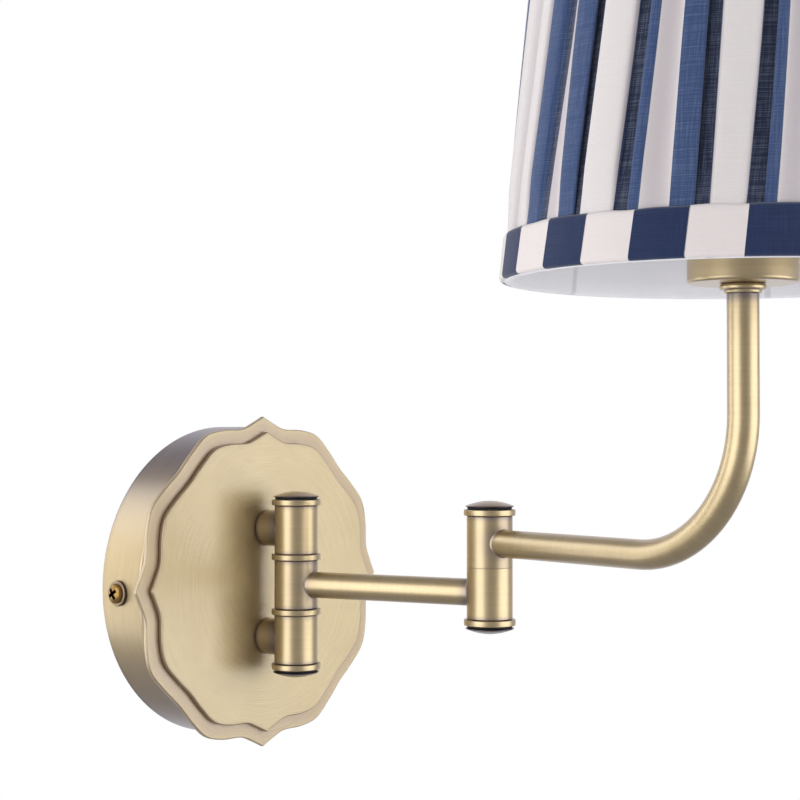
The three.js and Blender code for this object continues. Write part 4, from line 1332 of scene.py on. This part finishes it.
def thickened(piece, thickness, offset=-1):
    """Gives a sheet its thickness and applies it."""
    modifier = piece.modifiers.new("thickness", "SOLIDIFY")
    modifier.thickness = thickness
    modifier.offset = offset
    seen = piece.evaluated_get(bpy.context.evaluated_depsgraph_get())
    mesh = bpy.data.meshes.new_from_object(seen)
    mesh.name = piece.name
    piece.modifiers.clear()
    old = piece.data
    piece.data = mesh
    bpy.data.meshes.remove(old)
    face_outwards(piece)


def pleated_cover():
    """One cloth folded into box pleats, held flat under the hems and free between them."""
    columns = cloth_columns()
    margin = 1.2 * MM
    low, high = margin, SHADE_HEIGHT - margin
    count = 46
    heights = [low + (high - low) * i / count for i in range(count + 1)]
    bands, spots = 4, 12
    rng = random.Random(7)
    swell = [[rng.uniform(-1, 1) for _ in range(spots + 1)] for _ in range(bands + 1)]
    rows, stripes, depths = [], [], []
    for height in heights:
        share = height / SHADE_HEIGHT
        from_hem = min(height, SHADE_HEIGHT - height) - HEM_HEIGHT
        free = smooth((from_hem + 2 * MM) / (18 * MM))
        fold = (0.85 + 1.75 * free) * MM  # how deep the folds go
        proud = (-0.85 + 1.15 * free) * MM  # how far the crests stand out past the hem's face
        row = []
        for degrees, drift, depth, stripe in columns:
            drifted = drift * smooth(share / 0.6)
            rising = share * bands
            step = min(bands - 1, int(rising))
            spot = int(stripe / 4) % spots
            blend = rising - step
            wander = swell[step][spot] * (1 - blend) + swell[step + 1][spot] * blend
            inwards = depth * fold * (1 + 0.12 * wander)
            angle = PLEAT_START + degrees + drifted - TWIST * (height - HEM_HEIGHT)
            row.append(on_shade(angle, rim(height) + proud - inwards, height))
            stripes.append(stripe)
            depths.append(depth)
        rows.append(row)
    piece = skin("pleated_shade_cover", rows, wrap=False)
    write_floats(piece, "stripe", stripes)
    write_floats(piece, "depth", depths)
    middle = rows[len(rows) // 2]
    us = [0]
    for a, b in zip(middle, middle[1:]):
        us.append(us[-1] + (b - a).length)
    add_cloth_map(piece, rows, us, heights)
    thickened(piece, 0.25 * MM)
    finish_piece(piece, "shade_cover", COVER_CLOTH)
    high - low


def hem_band(name, node, at_top):
    """A band of striped cloth over the cover's edge, turned in over the wire and up behind it.
    Its path is (how far in from the face, height)."""
    corner = 0.9 * MM
    quarter_turn = [i * math.pi / 12 for i in range(7)]
    path = [(0.75 * MM, HEM_HEIGHT - 1.2 * MM), (0.55 * MM, HEM_HEIGHT - 0.25 * MM)]
    path += [(0.2 * MM, HEM_HEIGHT), (0.0, HEM_HEIGHT - 0.5 * MM)]
    path += [(0.0, HEM_HEIGHT * i / 8) for i in range(7, 1, -1)]
    path += [(corner * (1 - math.cos(a)), corner * (1 - math.sin(a))) for a in quarter_turn]
    path += [(2.0 * MM, 0.0), (2.9 * MM, 0.0)]
    path += [(3.2 * MM + corner * math.sin(a), corner * (1 - math.cos(a))) for a in quarter_turn]
    path += [(4.15 * MM, 3.0 * MM), (4.15 * MM, 5.0 * MM)]
    count, spots = 360, 60
    rng = random.Random(3 if at_top else 5)
    bumps = [rng.uniform(-1, 1) for _ in range(spots)]
    rows, stripes, vs = [], [], [0]
    for index, (inwards, height) in enumerate(path):
        row = []
        for i in range(count + 1):
            degrees = -180 + 360 * i / count
            spot, part = divmod(i % count / (count / spots), 1)
            here, following = bumps[int(spot)], bumps[(int(spot) + 1) % spots]
            wave = here * (1 - smooth(part)) + following * smooth(part)
            edge = wave * 0.28 * MM * smooth((height - 6 * MM) / (6 * MM)) if index < 12 else 0
            level = height + edge
            true_height = SHADE_HEIGHT - level if at_top else level
            puff = 0.1 * MM * wave if 2 < index < 14 else 0
            row.append(on_shade(degrees, rim(true_height) - inwards + puff, true_height))
            lean = HEM_LEAN * (level - HEM_HEIGHT / 2) * (-1 if at_top else 1)
            # The even number keeps the count of stripes above 0.
            stripes.append((degrees - HEM_START + lean) / HEM_STRIPE + 100 + 0.02 * wave)
        rows.append(row)
        if index:
            vs.append(vs[-1] + (rows[index][0] - rows[index - 1][0]).length)
    piece = skin(name, rows, wrap=False)
    write_floats(piece, "stripe", stripes)
    write_floats(piece, "depth", [0.0] * len(stripes))
    radius = TOP_RADIUS if at_top else BOTTOM_RADIUS
    around = 2 * math.pi * radius
    add_cloth_map(piece, rows, [around * i / count for i in range(count + 1)], vs)
    thickened(piece, 0.4 * MM, offset=1)
    finish_piece(piece, node, HEM_CLOTH)


def smooth_lining():
    """The thin lining, a plain cone that bellies in a little between the wires and turns under
    the hems at both ends."""
    count = 240
    inset_by = 4.7 * MM
    rise = SHADE_HEIGHT - 0.4 * MM
    turned_under = [(1.4 * MM, -0.5 * MM), (2.4 * MM, -0.55 * MM), (4.0 * MM, -0.5 * MM)]
    path = turned_under + [(inset_by, 0.2 * MM + rise * i / 30) for i in range(31)]
    path += [(inwards, SHADE_HEIGHT - height) for inwards, height in turned_under[::-1]]
    rows, stripes, heights = [], [], [0]
    for index, (moved_in, height) in enumerate(path):
        if index:
            heights.append(heights[-1] + math.dist(path[index - 1], path[index]))
        belly = math.sin(math.pi * min(1, max(0, height / SHADE_HEIGHT)))
        row = []
        for i in range(count + 1):
            degrees = 360 * i / count
            between = abs(math.sin(math.radians(3 * (degrees + 28.5))))
            inwards = moved_in + 0.7 * MM * belly * between
            row.append(on_shade(degrees, rim(height) - inwards, height))
            stripes.append(degrees / 60 + 0.2)
        rows.append(row)
    piece = skin("shade_lining_cloth", rows, wrap=False)
    write_floats(piece, "stripe", stripes)
    width = 2 * math.pi * (BOTTOM_RADIUS + TOP_RADIUS) / 2 - 2 * math.pi * inset_by
    add_cloth_map(piece, rows, [width * i / count for i in range(count + 1)], heights)
    thickened(piece, 0.3 * MM)
    finish_piece(piece, "shade_lining", LINING_CLOTH)


# ---- Fittings that keep their CAD shape ----

KEPT = {
    "wall_bracket": STEEL,
    "terminal_block": INSULATOR,
    "upper_post_nut": TURNED_BRASS,
    "lower_post_nut": TURNED_BRASS,
    "upper_post_nipple": STEEL,
    "lower_post_nipple": STEEL,
    "lampholder_nipple": STEEL,
    "lampholder_contact": TURNED_BRASS,
    "wall_pivot_pin": STEEL,
    "elbow_pin": STEEL,
    "elbow_friction_washer": STEEL,
    "shade_frame": STEEL,
    "shade_carrier": STEEL,
    "flex_wall": FLEX_BRAID,
    "flex_arm_1": FLEX_BRAID,
    "flex_arm_2": FLEX_BRAID,
}


def coat_kept_nodes():
    """Gives each hidden fitting its material on its own CAD mesh."""
    for name, material in KEPT.items():
        node = frame["nodes"][name]
        node.data.materials.clear()
        node.data.materials.append(material)


# ---- Floor and light ----

FLOOR_CENTRE = Vector((0, -0.15, -0.32))
LIT_POINT = Vector((0, -0.15, 0.06))  # what every soft box faces


def pale_floor():
    """A plain pale disc under the sconce."""
    count = 96
    rings = [[FLOOR_CENTRE]]
    for radius in (0.3, 0.6, 0.9, 1.05):
        ring = []
        for i in range(count):
            angle = 2 * math.pi * i / count
            ring.append(FLOOR_CENTRE + Vector((math.cos(angle), math.sin(angle), 0)) * radius)
        rings.append(ring)
    floor = skin("floor", rings)
    finish = Finish("pale_floor")
    clouds = finish.noise(finish.place(), 6, 3)
    floor.data.materials.append(finish.surface(
        Base_Color=finish.blend(clouds, srgb(236, 236, 238), srgb(242, 242, 243)),
        Roughness=0.9 + clouds * 0.05,
    ))
    floor.visible_glossy = False


def soft_box(name, direction, width, height, power, distance=1.1, level=0.1, seen=True):
    """A soft box that faces the sconce from a direction in degrees, anticlockwise from +X. It
    stands a level above the point it lights, and metal mirrors it if it is seen."""
    data = bpy.data.lights.new(name, "AREA")
    data.shape = "RECTANGLE"
    data.size = width
    data.size_y = height
    data.energy = power
    lamp = bpy.data.objects.new(name, data)
    angle = math.radians(direction)
    lamp.location = LIT_POINT + Vector((math.cos(angle), math.sin(angle), 0)) * distance
    lamp.location.z += level
    lamp.rotation_euler = (LIT_POINT - lamp.location).to_track_quat("-Z", "Y").to_euler()
    lamp.visible_glossy = seen
    lamp.visible_camera = False
    bpy.context.scene.collection.objects.link(lamp)


def studio_world():
    """White to the eye. To what it lights it is dim and faintly lilac, with a bright backdrop
    behind the sconce that only its edges mirror."""
    world = bpy.data.worlds.new("studio")
    bpy.context.scene.world = world
    world.use_nodes = True
    tree = world.node_tree
    tree.nodes.clear()

    def node(kind, settings, sockets):
        made = tree.nodes.new("ShaderNode" + kind)
        for key, value in settings.items():
            setattr(made, key, value)
        for key, value in sockets.items():
            if isinstance(value, bpy.types.NodeSocket):
                tree.links.new(value, made.inputs[key])
            else:
                made.inputs[key].default_value = value
        return made

    behind = (0.749, 0.662, 0.02)  # the direction of the backdrop
    dim = 0.45
    lilac = (0.94, 0.93, 1.0, 1.0)
    white = (1.0, 1.0, 1.0, 1.0)
    path = node("LightPath", {}, {})
    towards = node("TexCoord", {}, {}).outputs["Generated"]
    facing = node("VectorMath", {"operation": "DOT_PRODUCT"}, {0: towards, 1: behind})
    edge = {"From Min": 0.62, "From Max": 0.9, "To Min": 0.38, "To Max": 0.95}
    backdrop = node(
        "MapRange", {"interpolation_type": "SMOOTHSTEP"}, {"Value": facing.outputs["Value"], **edge}
    )
    mix = {"data_type": "FLOAT"}
    fill = node("Mix", mix, {0: path.outputs["Is Glossy Ray"], 2: dim, 3: backdrop.outputs[0]})
    level = node("Mix", mix, {0: path.outputs["Is Camera Ray"], 2: fill.outputs[0], 3: 1.0})
    tint = node("Mix", {"data_type": "RGBA"}, {
        0: path.outputs["Is Camera Ray"],
        6: lilac,
        7: white,
    })
    light = node("Background", {}, {"Color": tint.outputs[2], "Strength": level.outputs[0]})
    node("OutputWorld", {}, {"Surface": light.outputs[0]})


# ---- The whole sconce ----

# Tarnish of the outer plate's rim, with painted shade rising towards the foot of the inner plate.
OUTER_RIM_TARNISH_AND_SHADE = (0.4, 0.5, 0.65, 0.75)
CLEAN_EDGE = (0, 0, 0, 0)
# Painted shadows of the posts and pivots on the inner plate, left of the posts.
POST_SHADOWS = [
    (Vector((-5, 2)) * MM, 4 * MM, 0.45),
    (Vector((-8, -22)) * MM, 5 * MM, 0.2),
]

canopy_pan()
pressed_plate("pressed_outer_plate", "outer_plate", OUTER_RIM_TARNISH_AND_SHADE)
pressed_plate("pressed_inner_plate", "inner_plate", CLEAN_EDGE, POST_SHADOWS)
pivots()
posts()
arms()
lampholder()
screws()
pleated_cover()
hem_band("bottom_hem_band", "shade_bottom_hem", False)
hem_band("top_hem_band", "shade_top_hem", True)
smooth_lining()
coat_kept_nodes()
pale_floor()
soft_box("left_box", 167, 0.92, 1.3, 9.3)
soft_box("far_left_box", 112, 0.42, 1.3, 4)
soft_box("right_box", 293, 1.22, 1.3, 11)
soft_box("front_fill", 221, 0.9, 0.9, 1.2, distance=1.5, level=0.5, seen=False)
studio_world()
